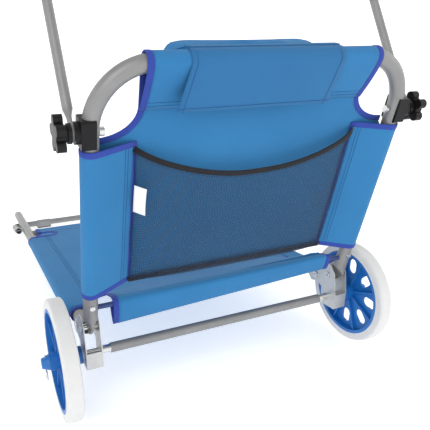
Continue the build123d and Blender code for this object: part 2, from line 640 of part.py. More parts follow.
def foot_bolts():
    """The pivot bolts of the foot, with their spacers, fixed in the side tubes."""
    bolts = []
    for _, side in SIDES:
        x0 = side * (SEAT_X + TUBE_R)
        bolt = cylinder_x(BOLT_D / 2, x0, side * (FOOT_X + FOOT_D / 2 + 0.3), 0, 0)
        bolt += cylinder_x(BOLT_D / 2 + 3.0, side * (FOOT_X + FOOT_D / 2 + 0.3), side * (FOOT_X + FOOT_D / 2 + 3.0), 0, 0)
        bolt += cylinder_x(BOLT_D / 2 + 3.0, x0, side * (FOOT_X - FOOT_D / 2 - 0.3), 0, 0)
        bolts.append(bolt.solids()[0])
    return Compound(children=bolts)


def foot_clip(side):
    """A grey clip snapped on the foot's cross bar."""
    x = side * FOOT_CLIP_X
    y = FOOT_BAR_Y
    x0 = x - FOOT_CLIP_W / 2
    x1 = x + FOOT_CLIP_W / 2
    clip = cylinder_x(FOOT_D / 2 + FOOT_CLIP_T, x0, x1, y, FOOT_Z)
    clip += box_between((x0, y - FOOT_D / 2 - FOOT_CLIP_T, PAD_T), (x1, y + FOOT_D / 2 + FOOT_CLIP_T, FOOT_Z))
    return clip - cylinder_x(FOOT_D / 2, x0 - 1, x1 + 1, y, FOOT_Z)


def foot_pad(side):
    """The rubber strip under a clip, on the floor."""
    x = side * FOOT_CLIP_X
    half = FOOT_D / 2 + FOOT_CLIP_T
    return box_between((x - FOOT_CLIP_W / 2, FOOT_BAR_Y - half, 0), (x + FOOT_CLIP_W / 2, FOOT_BAR_Y + half, PAD_T))


def write_back():
    """Write the parts that fold with the back."""
    save("backrest_frame", back_frame(), BACK)
    save("backrest_lower_bar", back_bar(), BACK)
    save("backrest_rivets", back_rivets(), BACK)
    save("backrest_sling", back_sling(), BACK)
    save("seat_rear_sleeve", rear_sleeve(), BACK)
    save("mesh_pocket", mesh_pocket(), BACK)
    save("pocket_top_binding", pocket_top_tape(), BACK)
    save("pocket_bottom_binding", pocket_bottom_tape(), BACK)
    save("head_pillow", pillow(), BACK)
    save("pillow_flap", pillow_flap(), BACK)
    disc_face = HOOP_X - HOOP_FLAT_T / 2 - 0.1
    for name, side in SIDES:
        save(f"clamp_block_{name}", clamp_block(side), BACK)
        save(f"clamp_disc_inner_{name}", clamp_ring(side, BLOCK_OUT_X, disc_face, DISC_R + 1.5), BACK)
        save(f"clamp_bolt_{name}", clamp_bolt(side), BACK)
        save(f"clamp_disc_outer_{name}",
             clamp_ring(side, HOOP_X + HOOP_FLAT_T / 2, HOOP_X + HOOP_FLAT_T / 2 + 4.6, DISC_R), BACK)
        save(f"wing_knob_{name}", wing_knob(side), BACK)
    save("handle_hoop", handle_hoop(), HOOP)


def write_chassis():
    """Write the brackets, axle, seat and foot."""
    save("backrest_pivot_pins", pin_pair(0, PIVOT_Z), SHIFT)
    save("seat_rivets", pin_pair(RIVET_Y, seat_z(RIVET_Y)), SHIFT)
    save("axle_rod", axle_rod(), SHIFT)
    save("axle_tube", axle_tube(), SHIFT)
    save("axle_spacers", axle_spacers(), SHIFT)
    save("axle_washers", washers(), SHIFT)
    save("seat_front_bar", seat_front_bar(), SEAT)
    save("seat_sling", seat_sling(), SEAT)
    save("front_foot", front_foot(), FOOT)
    save("foot_pivot_bolts", foot_bolts(), FOOT)
    rivet = cylinder_x(PIN_D / 2 + TOUCH, -400, 400, RIVET_Y, seat_z(RIVET_Y))
    for name, side in SIDES:
        save(f"hinge_bracket_{name}", bracket(side), SHIFT)
        save(f"seat_tube_{name}", SEAT * seat_tube(side) - SHIFT * rivet)
        save(f"wheel_disc_{name}", on_axle(side, wheel_disc()), SHIFT)
        save(f"tyre_{name}", on_axle(side, tyre()), SHIFT)
        save(f"hub_cap_{name}", hub_cap(side), SHIFT)
        save(f"ring_pin_{name}", ring_pin(side), SHIFT)
        save(f"foot_clip_{name}", foot_clip(side), SHIFT)
        save(f"foot_pad_{name}", foot_pad(side), SHIFT)


write_back()
write_chassis()
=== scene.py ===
"""Looks of a beach cart lounger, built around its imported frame.

Each sub-assembly is a class whose sizes, in millimetres, are dataclass fields. Surfaces are worked out
as whole
arrays: a cloth is a function of two parameters on a grid, a binding is a profile carried along an edge.
"""
import json
import logging
import math
from dataclasses import dataclass
from enum import Enum

import bpy
import numpy as np
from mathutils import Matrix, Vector


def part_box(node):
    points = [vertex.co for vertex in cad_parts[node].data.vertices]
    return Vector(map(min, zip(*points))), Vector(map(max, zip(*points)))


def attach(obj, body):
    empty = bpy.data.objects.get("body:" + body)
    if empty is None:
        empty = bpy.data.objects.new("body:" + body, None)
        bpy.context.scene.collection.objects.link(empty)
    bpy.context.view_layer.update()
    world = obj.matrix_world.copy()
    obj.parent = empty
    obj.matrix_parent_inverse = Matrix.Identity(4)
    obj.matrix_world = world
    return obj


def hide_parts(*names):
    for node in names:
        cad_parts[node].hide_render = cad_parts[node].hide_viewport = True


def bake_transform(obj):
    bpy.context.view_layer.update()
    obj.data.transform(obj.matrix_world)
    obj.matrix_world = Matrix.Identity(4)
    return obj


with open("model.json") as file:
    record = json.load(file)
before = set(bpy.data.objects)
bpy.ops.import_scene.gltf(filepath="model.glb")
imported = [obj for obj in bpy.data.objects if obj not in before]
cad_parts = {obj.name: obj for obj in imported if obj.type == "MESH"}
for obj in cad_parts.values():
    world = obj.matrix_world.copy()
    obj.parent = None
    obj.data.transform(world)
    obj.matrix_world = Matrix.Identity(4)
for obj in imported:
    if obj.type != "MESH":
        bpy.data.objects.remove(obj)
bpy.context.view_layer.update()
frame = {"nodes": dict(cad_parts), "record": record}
LOG = logging.getLogger("beach_cart")
MM = 0.001
Array = np.ndarray


# ---------------------------------------------------------------- places
@dataclass(frozen=True)
class Layout:
    """Main places of the cart, in millimetres, measured from the axle's centre line over the floor."""

    lean: float = math.radians(13.6)
    back_foot_y: float = -13.1
    back_foot_z: float = 163.1
    side_x: float = 231.0
    seat_x: float = 239.0
    top_s: float = 378.8
    cloth_r: float = 12.6
    seat_ref_y: float = 61.0
    seat_ref_z: float = 123.0
    seat_slope: float = math.tan(math.radians(6.79))

    @property
    def axle_y(self) -> float:
        """Row-frame y of the axle, in metres."""
        low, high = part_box("axle_rod")
        return (low.y + high.y) / 2

    def to_row(self, points: Array) -> Array:
        """Turns axle-frame millimetres into row-frame metres.

        Args:
            points: array whose last axis is x, y, z.

        Returns:
            The same array in metres, with the axle's y added.
        """
        out = np.array(points, float) * MM
        out[..., 1] += self.axle_y
        return out

    def back(self, x: Array, n: Array, s: Array) -> Array:
        """Leans the back's own frame: y = foot + n cos - s sin, z = foot + n sin + s cos.

        Args:
            x: across the back.
            n: out of the back's front face.
            s: up the back's tubes.

        Returns:
            Row-frame points in metres.
        """
        x, n, s = np.broadcast_arrays(np.asarray(x, float), np.asarray(n, float), np.asarray(s, float))
        cos, sin = math.cos(self.lean), math.sin(self.lean)
        y = self.back_foot_y + n * cos - s * sin
        z = self.back_foot_z + n * sin + s * cos
        return self.to_row(np.stack([x, y, z], -1))

    def seat_z(self, y: Array) -> Array:
        """Height of the seat tubes' centre line at y: a straight fall towards the front."""
        return self.seat_ref_z - (np.asarray(y, float) - self.seat_ref_y) * self.seat_slope


LAYOUT = Layout()


def smooth_step(value: Array, low: float, high: float) -> Array:
    """Eases from 0 at low to 1 at high with the cubic 3t^2 - 2t^3."""
    t = np.clip((np.asarray(value, float) - low) / (high - low), 0, 1)
    return t * t * (3 - 2 * t)


def ripple(a: Array, b: Array, size: float, seed: int) -> Array:
    """Gentle unevenness of hand-sewn cloth: a sum of six seeded plane waves over (a, b) in millimetres.

    Args:
        a: first cloth direction.
        b: second cloth direction.
        size: largest height in millimetres.
        seed: picks the waves.

    Returns:
        Heights in millimetres.
    """
    rng = np.random.default_rng(seed)
    total = np.zeros(np.broadcast(a, b).shape)
    for _ in range(6):
        angle, length, phase = rng.uniform(0, math.pi), rng.uniform(45, 150), rng.uniform(0, 2 * math.pi)
        total += np.sin((a * math.cos(angle) + b * math.sin(angle)) * 2 * math.pi / length + phase)
    return total * size / 6


# ---------------------------------------------------------------- meshes
def grid_faces(rows: int, columns: int, close_rows: bool = False) -> Array:
    """Quads of a rows x columns grid, wrapped round in the row direction if close_rows is set."""
    last = rows if close_rows else rows - 1
    i, j = np.meshgrid(np.arange(last), np.arange(columns - 1), indexing="ij")
    i, j = i.ravel(), j.ravel()
    up = (i + 1) % rows
    return np.stack([i * columns + j, up * columns + j, up * columns + j + 1, i * columns + j + 1], 1)


def mesh_object(name: str, vertices: Array, quads: Array, uv: Array | None = None,
                caps: list[Array] | None = None) -> bpy.types.Object:
    """Puts arrays into a new mesh object at the origin.

    Args:
        name: the object's name.
        vertices: N x 3 points in row-frame metres.
        quads: M x 4 vertex numbers.
        uv: N x 2 coordinates in metres of cloth, one per vertex.
        caps: rings of vertex numbers that close a tube's ends.

    Returns:
        The linked object, shaded smooth.
    """
    mesh = bpy.data.meshes.new(name)
    faces = [quads.ravel()] + [np.asarray(c) for c in caps or []]
    totals = np.concatenate([np.full(len(quads), 4), [len(c) for c in caps or []]]).astype(np.int32)
    corners = np.concatenate(faces).astype(np.int32)
    mesh.vertices.add(len(vertices))
    mesh.vertices.foreach_set("co", np.asarray(vertices, np.float32).ravel())
    mesh.loops.add(len(corners))
    mesh.loops.foreach_set("vertex_index", corners)
    mesh.polygons.add(len(totals))
    mesh.polygons.foreach_set("loop_start", (np.cumsum(totals) - totals).astype(np.int32))
    mesh.polygons.foreach_set("loop_total", totals)
    mesh.update(calc_edges=True)
    if uv is not None:
        layer = mesh.uv_layers.new(name="cloth")
        layer.data.foreach_set("uv", np.asarray(uv, np.float32)[corners].ravel())
    mesh.validate()
    mesh.polygons.foreach_set("use_smooth", np.ones(len(mesh.polygons), bool))
    made = bpy.data.objects.new(name, mesh)
    bpy.context.scene.collection.objects.link(made)
    return made


def arc_lengths(points: Array, axis: int) -> Array:
    """Distance run along one grid direction, starting at 0."""
    steps = np.linalg.norm(np.diff(points, axis=axis), axis=-1)
    zero = np.zeros_like(np.take(steps, [0], axis=axis))
    return np.concatenate([zero, np.cumsum(steps, axis=axis)], axis=axis)


def cloth_grid(name: str, points: Array, thickness: float = 0.8) -> bpy.types.Object:
    """A sheet from a grid of points, with uv in metres of cloth and a little thickness.

    Args:
        name: the object's name.
        points: rows x columns x 3 in metres.
        thickness: of the cloth, in millimetres.

    Returns:
        The sheet with a Solidify modifier.
    """
    rows, columns = points.shape[:2]
    across = arc_lengths(points, 0)
    across = across - across.mean(axis=0, keepdims=True)
    uv = np.stack([across, arc_lengths(points, 1)], -1).reshape(-1, 2)
    made = mesh_object(name, points.reshape(-1, 3), grid_faces(rows, columns), uv)
    wall = made.modifiers.new("cloth", "SOLIDIFY")
    wall.thickness = thickness * MM
    wall.offset = 0.0
    return made


def resampled(path: Array, out: Array, step: float) -> tuple[Array, Array]:
    """Points at an even spacing along a path, with the outward directions there.

    Args:
        path: N x 3 points.
        out: one outward direction, or one per point.
        step: spacing in metres.

    Returns:
        The new points and their outward directions.
    """
    run = arc_lengths(path, 0)
    count = max(3, int(round(run[-1] / step)) + 1)
    at = np.linspace(0, run[-1], count)
    out = np.broadcast_to(np.asarray(out, float), path.shape)
    points = np.stack([np.interp(at, run, path[:, k]) for k in range(3)], -1)
    ways = np.stack([np.interp(at, run, out[:, k]) for k in range(3)], -1)
    return points, ways


def path_frames(path: Array, out: Array) -> tuple[Array, Array, Array]:
    """Tangent, sideways and outward unit vectors along a path.

    Args:
        path: N x 3 points.
        out: one outward direction, or one per point.

    Returns:
        Tangents, side vectors and outward vectors, each N x 3.
    """
    tangent = np.gradient(path, axis=0)
    tangent /= np.linalg.norm(tangent, axis=1, keepdims=True) + 1e-12
    out = np.broadcast_to(np.asarray(out, float), path.shape)
    side = np.cross(tangent, out)
    side /= np.linalg.norm(side, axis=1, keepdims=True) + 1e-12
    outward = np.cross(side, tangent)
    return tangent, side, outward


def swept_tape(name: str, path: Array, out: Array, width: float, depth: float,
               shift: float = 0.0) -> bpy.types.Object:
    """A folded tape along an edge: a superellipse of width x depth carried along the path.

    Args:
        name: the object's name.
        path: N x 3 points in metres.
        out: outward direction of the cloth, one or one per point.
        width: of the tape, across the cloth, in millimetres.
        depth: of the tape, through the cloth, in millimetres.
        shift: moves the tape sideways over the cloth, in millimetres.

    Returns:
        The closed tape.
    """
    path, out = resampled(path, out, 0.005)
    _, side, outward = path_frames(path, out)
    angle = np.linspace(0, 2 * math.pi, 16, endpoint=False)
    wide = np.sign(np.cos(angle)) * np.abs(np.cos(angle)) ** 0.6 * width / 2 + shift
    deep = np.sign(np.sin(angle)) * np.abs(np.sin(angle)) ** 0.6 * depth / 2
    points = (path[None] + side[None] * (wide * MM)[:, None, None]
              + outward[None] * (deep * MM)[:, None, None])
    count = len(path)
    run = np.broadcast_to(arc_lengths(path, 0)[None], (16, count))
    uv = np.stack([np.broadcast_to((wide * MM)[:, None], (16, count)), run], -1).reshape(-1, 2)
    ring = np.arange(16) * count
    quads = grid_faces(16, count, close_rows=True)[:, ::-1]
    return mesh_object(name, points.reshape(-1, 3), quads, uv, [ring, (ring + count - 1)[::-1]])


def stitch_rows(name: str, seams: list[tuple[Array, Array]], pitch: float = 3.6) -> bpy.types.Object:
    """Rows of sewing stitches: one small lozenge of thread for every pitch of each seam.

    Args:
        name: the object's name.
        seams: pairs of a path in metres and its outward direction.
        pitch: distance between stitches in millimetres.

    Returns:
        One object that holds every stitch.
    """
    box = np.array([(a, b, c) for a in (-0.5, 0.5) for b in (-0.5, 0.5) for c in (-0.5, 0.5)])
    box[:, 1] *= 1 - 0.35 * (box[:, 2] > 0)
    quad = np.array([(0, 1, 3, 2), (4, 6, 7, 5), (0, 4, 5, 1), (2, 3, 7, 6), (0, 2, 6, 4), (1, 5, 7, 3)])
    size = np.array([pitch * 0.6, 0.7, 0.5]) * MM
    vertices, quads, base = [], [], 0
    for path, out in seams:
        path, out = resampled(path, out, pitch * MM)
        tangent, side, outward = path_frames(path, out)
        made = (path[:, None] + tangent[:, None] * (box[:, 0] * size[0])[None, :, None]
                + side[:, None] * (box[:, 1] * size[1])[None, :, None]
                + outward[:, None] * (box[:, 2] * size[2])[None, :, None])
        vertices.append(made.reshape(-1, 3))
        quads.append((quad[None] + (np.arange(len(path)) * 8)[:, None, None]).reshape(-1, 4) + base)
        base += len(path) * 8
    return mesh_object(name, np.concatenate(vertices), np.concatenate(quads))


# ---------------------------------------------------------------- finishes
class Tree:
    """Small helper that adds and joins nodes in one node tree."""

    def __init__(self, tree: bpy.types.NodeTree) -> None:
        """Keeps the tree to work on."""
        self.tree = tree

    def add(self, kind: str, values: dict | None = None, **settings: object) -> bpy.types.Node:
        """Adds a node.

        Args:
            kind: the node's type name.
            values: input name or number to a value or an output socket.
            **settings: properties of the node itself.

        Returns:
            The new node.
        """
        made = self.tree.nodes.new(kind)
        for key, value in settings.items():
            setattr(made, key, value)
        for key, value in (values or {}).items():
            if isinstance(value, bpy.types.NodeSocket):
                self.tree.links.new(value, made.inputs[key])
            else:
                made.inputs[key].default_value = value
        return made

    def math(self, operation: str, first: object, second: object = 0.0,
             third: object = 0.0) -> bpy.types.NodeSocket:
        """Adds a Math node and returns its output."""
        made = self.add("ShaderNodeMath", {0: first, 1: second, 2: third}, operation=operation)
        return made.outputs[0]


def new_group(name: str, inputs: dict[str, tuple[str, object]], outputs: dict[str, str]) -> tuple:
    """Makes a shader node group with named sockets.

    Args:
        name: the group's name.
        inputs: socket name to its kind and value.
        outputs: socket name to its kind.

    Returns:
        The group, a Tree on it, its input node and its output node.
    """
    group = bpy.data.node_groups.new(name, "ShaderNodeTree")
    for key, (kind, value) in inputs.items():
        socket = group.interface.new_socket(name=key, in_out="INPUT", socket_type=kind)
        if value is not None:
            socket.default_value = value
    for key, kind in outputs.items():
        group.interface.new_socket(name=key, in_out="OUTPUT", socket_type=kind)
    tree = Tree(group)
    return group, tree, tree.add("NodeGroupInput"), tree.add("NodeGroupOutput")


def weave_group() -> bpy.types.NodeTree:
    """Plain weave: threads are |sin| ridges both ways, and the sign of their product says which lies on top. Its
    tone output is half slub noise, the threads' own uneven tone, and half the ridge height as painted shade,
    darker in the hollows between threads."""
    group, tree, given, out = new_group(
        "Weave", {"Vector": ("NodeSocketVector", None), "Across": ("NodeSocketFloat", 1500.0),
                  "Along": ("NodeSocketFloat", 1500.0)},
        {"Height": "NodeSocketFloat", "SlubAndPaintedShade": "NodeSocketFloat"})
    split = tree.add("ShaderNodeSeparateXYZ", {0: given.outputs["Vector"]})
    u = tree.math("SINE", tree.math("MULTIPLY", split.outputs[0],
                                    tree.math("MULTIPLY", given.outputs["Across"], math.pi)))
    v = tree.math("SINE", tree.math("MULTIPLY", split.outputs[1],
                                    tree.math("MULTIPLY", given.outputs["Along"], math.pi)))
    over = tree.math("GREATER_THAN", tree.math("MULTIPLY", u, v), 0.0)
    warp, weft = tree.math("ABSOLUTE", u), tree.math("ABSOLUTE", v)
    height = tree.math("ADD", tree.math("MULTIPLY", warp, over),
                       tree.math("MULTIPLY", weft, tree.math("SUBTRACT", 1.0, over)))
    slub = tree.add("ShaderNodeTexNoise", {"Vector": given.outputs["Vector"], "Scale": 480.0, "Detail": 3.0})
    tree.tree.links.new(height, out.inputs["Height"])
    # painted shade between threads: half the tone is the ridge height, so the hollows are darker; the other half
    # is slub noise, the threads' own tone
    shade = tree.math("MULTIPLY_ADD", slub.outputs[0], 0.5, tree.math("MULTIPLY", height, 0.5))
    tree.tree.links.new(shade, out.inputs["SlubAndPaintedShade"])
    return group


def net_group() -> bpy.types.NodeTree:
    """Knitted net: three cosines 60 degrees apart peak in the middle of each round hole."""
    group, tree, given, out = new_group(
        "Net", {"Vector": ("NodeSocketVector", None), "Wave": ("NodeSocketFloat", 2400.0),
                "Hole": ("NodeSocketFloat", 0.4)},
        {"Thread": "NodeSocketFloat", "Height": "NodeSocketFloat"})
    total: object = 0.0
    for turn in range(3):
        angle = math.radians(120 * turn)
        dot = tree.add("ShaderNodeVectorMath", {0: given.outputs["Vector"],
                                                1: (math.cos(angle), math.sin(angle), 0.0)},
                       operation="DOT_PRODUCT")
        wave = tree.math("COSINE", tree.math("MULTIPLY", dot.outputs["Value"], given.outputs["Wave"]))
        total = tree.math("ADD", wave, total)
    thread = tree.math("SUBTRACT", given.outputs["Hole"], total)
    mask = tree.add("ShaderNodeMapRange", {0: thread, 1: -0.25, 2: 0.15, 3: 0.0, 4: 1.0})
    tree.tree.links.new(mask.outputs[0], out.inputs["Thread"])
    tree.tree.links.new(tree.math("MULTIPLY", thread, 0.4), out.inputs["Height"])
    return group


def wear_group() -> bpy.types.NodeTree:
    """Handling marks: broad cloudy patches and fine short scratches, both from stretched noise."""
    group, tree, given, out = new_group(
        "Wear", {"Vector": ("NodeSocketVector", None), "Size": ("NodeSocketFloat", 40.0)},
        {"Cloud": "NodeSocketFloat", "Scratch": "NodeSocketFloat", "Grain": "NodeSocketFloat"})
    cloud = tree.add("ShaderNodeTexNoise", {"Vector": given.outputs["Vector"], "Scale": given.outputs["Size"],
                                            "Detail": 4.0, "Roughness": 0.6})
    long_way = tree.add("ShaderNodeMapping", {0: given.outputs["Vector"], 3: (1.0, 9.0, 9.0)})
    fine = tree.add("ShaderNodeTexNoise", {"Vector": long_way.outputs[0], "Scale": 160.0, "Detail": 3.0})
    scratch = tree.add("ShaderNodeMapRange", {0: fine.outputs[0], 1: 0.62, 2: 0.72, 3: 0.0, 4: 1.0})
    grain = tree.add("ShaderNodeTexNoise", {"Vector": given.outputs["Vector"], "Scale": 2600.0,
                                            "Detail": 2.0})
    tree.tree.links.new(cloud.outputs[0], out.inputs["Cloud"])
    tree.tree.links.new(scratch.outputs[0], out.inputs["Scratch"])
    tree.tree.links.new(grain.outputs[0], out.inputs["Grain"])
    return group


GROUPS: dict[str, bpy.types.NodeTree] = {}


def shared(name: str) -> bpy.types.NodeTree:
    """The shared node group of that name, built the first time."""
    makers = {"Weave": weave_group, "Net": net_group, "Wear": wear_group}
    if name not in GROUPS:
        GROUPS[name] = makers[name]()
    return GROUPS[name]


def new_material(name: str) -> tuple[bpy.types.Material, Tree, bpy.types.Node]:
    """A material with its Principled shader and output joined."""
    material = bpy.data.materials.new(name)
    material.use_nodes = True
    material.node_tree.nodes.clear()
    tree = Tree(material.node_tree)
    shader = tree.add("ShaderNodeBsdfPrincipled")
    tree.add("ShaderNodeOutputMaterial", {0: shader.outputs[0]})
    return material, tree, shader


def toned(tree: Tree, low: tuple, high: tuple, factor: object) -> bpy.types.NodeSocket:
    """A colour between low and high by factor."""
    mix = tree.add("ShaderNodeMix", {0: factor, 6: (*low, 1.0), 7: (*high, 1.0)}, data_type="RGBA")
    return mix.outputs[2]


@dataclass(frozen=True)
class Cloth:
    """A woven finish, its colour varying a little thread by thread: slub tone, and painted shade in the hollows
    between threads.
    """

    name: str
    low: tuple[float, float, float]
    high: tuple[float, float, float]
    across: float = 1500.0
    along: float = 1500.0
    bump: float = 0.4
    rough: float = 0.78
    sheen: float = 0.08
    patch: float = 0.12

    def build(self) -> bpy.types.Material:
        """Weave from the cloth's own uv, with painted shade between its threads, and slow patches of tone from
        object coordinates.
        """
        material, tree, shader = new_material(self.name)
        place = tree.add("ShaderNodeTexCoord")
        weave = tree.add("ShaderNodeGroup", {}, node_tree=shared("Weave"))
        tree.tree.links.new(place.outputs["UV"], weave.inputs["Vector"])
        weave.inputs["Across"].default_value = self.across
        weave.inputs["Along"].default_value = self.along
        patch = tree.add("ShaderNodeTexNoise", {"Vector": place.outputs["Object"], "Scale": 9.0,
                                                "Detail": 3.0})
        # base colour: slow patches plus the weave's slub tone and its painted shade between threads
        tone = tree.math("MULTIPLY_ADD", patch.outputs[0], self.patch * 4,
                         tree.math("MULTIPLY", weave.outputs["SlubAndPaintedShade"], 1.0 - self.patch * 2))
        tree.tree.links.new(toned(tree, self.low, self.high, tone), shader.inputs["Base Color"])
        rough = tree.math("MULTIPLY_ADD", weave.outputs["SlubAndPaintedShade"], 0.1, self.rough - 0.05)
        tree.tree.links.new(rough, shader.inputs["Roughness"])
        bump = tree.add("ShaderNodeBump", {"Strength": self.bump, "Distance": 0.0003,
                                           "Height": weave.outputs["Height"]})
        tree.tree.links.new(bump.outputs[0], shader.inputs["Normal"])
        shader.inputs["Sheen Weight"].default_value = self.sheen
        shader.inputs["Specular IOR Level"].default_value = 0.15
        shader.inputs["Sheen Roughness"].default_value = 0.45
        return material


@dataclass(frozen=True)
class Net:
    """An open knitted net whose holes are cut out by alpha."""

    name: str = "pocket_net"
    low: tuple[float, float, float] = (0.006, 0.012, 0.028)
    high: tuple[float, float, float] = (0.02, 0.045, 0.10)
    wave: float = 2400.0
    hole: float = -0.9

    def build(self) -> bpy.types.Material:
        """Threads from the net group on the cloth's uv."""
        material, tree, shader = new_material(self.name)
        place = tree.add("ShaderNodeTexCoord")
        net = tree.add("ShaderNodeGroup", {}, node_tree=shared("Net"))
        tree.tree.links.new(place.outputs["UV"], net.inputs["Vector"])
        net.inputs["Wave"].default_value = self.wave
        net.inputs["Hole"].default_value = self.hole
        fine = tree.add("ShaderNodeTexNoise", {"Vector": place.outputs["UV"], "Scale": 1800.0})
        tree.tree.links.new(toned(tree, self.low, self.high, fine.outputs[0]), shader.inputs["Base Color"])
        tree.tree.links.new(net.outputs["Thread"], shader.inputs["Alpha"])
        bump = tree.add("ShaderNodeBump", {"Strength": 0.4, "Distance": 0.0004,
                                           "Height": net.outputs["Height"]})
        tree.tree.links.new(bump.outputs[0], shader.inputs["Normal"])
        shader.inputs["Roughness"].default_value = 0.6
        return material


@dataclass(frozen=True)
class Hard:
    """A metal, plastic or rubber finish with cloudy tone, short scratches and a fine grain."""

    name: str
    low: tuple[float, float, float]
    high: tuple[float, float, float]
    metal: float = 0.0
    rough: float = 0.4
    spread: float = 0.12
    grain: float = 0.05
    scuff: float = 0.3
    coat: float = 0.0
    size: float = 40.0
    shine: float = 0.5

    def build(self) -> bpy.types.Material:
        """Tone, roughness and bump from the wear group on object coordinates."""
        material, tree, shader = new_material(self.name)
        place = tree.add("ShaderNodeTexCoord")
        wear = tree.add("ShaderNodeGroup", {}, node_tree=shared("Wear"))
        tree.tree.links.new(place.outputs["Object"], wear.inputs["Vector"])
        wear.inputs["Size"].default_value = self.size
        tree.tree.links.new(toned(tree, self.low, self.high, wear.outputs["Cloud"]),
                            shader.inputs["Base Color"])
        rough = tree.math("MULTIPLY_ADD", wear.outputs["Cloud"], self.spread * 2, self.rough - self.spread)
        rough = tree.math("MULTIPLY_ADD", wear.outputs["Scratch"], self.scuff * 0.3, rough)
        tree.tree.links.new(rough, shader.inputs["Roughness"])
        height = tree.math("MULTIPLY_ADD", wear.outputs["Scratch"], -0.3, wear.outputs["Grain"])
        bump = tree.add("ShaderNodeBump", {"Strength": self.grain, "Distance": 0.0003, "Height": height})
        tree.tree.links.new(bump.outputs[0], shader.inputs["Normal"])
        shader.inputs["Metallic"].default_value = self.metal
        shader.inputs["Specular IOR Level"].default_value = self.shine
        shader.inputs["Coat Weight"].default_value = self.coat
        shader.inputs["Coat Roughness"].default_value = 0.12
        return material


class Finish(Enum):
    """Every finish on the cart."""

    CANVAS = Cloth("blue_canvas", (0.0165, 0.122, 0.32), (0.041, 0.222, 0.47))
    FLAP = Cloth("flap_canvas", (0.0155, 0.100, 0.265), (0.038, 0.185, 0.40), bump=0.45, patch=0.08)
    BINDING = Cloth("binding_tape", (0.020, 0.040, 0.24), (0.042, 0.080, 0.40), 900.0, 2200.0, 0.5)
    THREAD = Cloth("sewing_thread", (0.006, 0.035, 0.15), (0.014, 0.06, 0.24), 2500.0, 2500.0, 0.1)
    TAPE = Cloth("black_tape", (0.006, 0.006, 0.008), (0.02, 0.02, 0.024), 700.0, 1600.0, 0.5, 0.7, 0.1)
    LABEL = Cloth("white_satin", (0.72, 0.73, 0.74), (0.86, 0.86, 0.86), 3000.0, 3000.0, 0.08, 0.45, 0.1)
    NET = Net()
    TUBE = Hard("silver_paint", (0.21, 0.21, 0.21), (0.29, 0.29, 0.29), 0.4, 0.42, 0.08, 0.06, 0.4, 0.05)
    ZINC = Hard("zinc_plate", (0.50, 0.50, 0.48), (0.66, 0.66, 0.64), 0.6, 0.36, 0.12, 0.05, 0.5, 0.0, 90.0)
    STEEL = Hard("plated_steel", (0.58, 0.58, 0.58), (0.75, 0.75, 0.75), 1.0, 0.24, 0.08, 0.04, 0.4)
    WHEEL = Hard("wheel_blue", (0.004, 0.115, 0.40), (0.010, 0.170, 0.52), 0.0, 0.44, 0.06, 0.03, 0.3)
    TYRE = Hard("pale_foam", (0.62, 0.62, 0.615), (0.72, 0.72, 0.715), 0.0, 0.62, 0.08, 0.25, 0.2)
    BLACK = Hard("black_moulding", (0.005, 0.005, 0.006), (0.012, 0.012, 0.013), 0.0, 0.38, 0.10, 0.12, 0.5,
                 shine=0.2)
    GREY = Hard("grey_moulding", (0.20, 0.205, 0.21), (0.30, 0.305, 0.31), 0.0, 0.45, 0.08, 0.1, 0.3)
    # painted shade and reflection: the back's lower bar is a silver tube; this dark blue stands for the shade it
    # lies in and the blue cloth reflected on it
    BAR_SHADE = Hard("bar_painted_shade", (0.012, 0.035, 0.13), (0.022, 0.055, 0.19), 0.0, 0.4, 0.08, 0.05, 0.4)
    PAD = Hard("rubber_pad", (0.010, 0.010, 0.010), (0.025, 0.025, 0.025), 0.0, 0.7, 0.08, 0.3, 0.2)


SLOT_FINISH = {"tube": Finish.TUBE, "zinc": Finish.ZINC, "steel": Finish.STEEL, "canvas": Finish.CANVAS,
               "net": Finish.NET, "tape": Finish.TAPE, "wheel_blue": Finish.WHEEL, "tyre": Finish.TYRE,
               "black_plastic": Finish.BLACK, "grey_plastic": Finish.GREY, "pad": Finish.PAD}
MADE: dict[Finish, bpy.types.Material] = {}


def dress(piece: bpy.types.Object, finish: Finish) -> bpy.types.Object:
    """Gives a piece one finish in place of whatever it had."""
    if finish not in MADE:
        MADE[finish] = finish.value.build()
    piece.data.materials.clear()
    piece.data.materials.append(MADE[finish])
    return piece


def place(piece: bpy.types.Object, finish: Finish, slot: str, body: str) -> bpy.types.Object:
    """Dresses a new piece and lets it ride on a body."""
    dress(piece, finish)
    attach(piece, body)
    LOG.info("%s rides on %s", piece.name, body)
    return piece


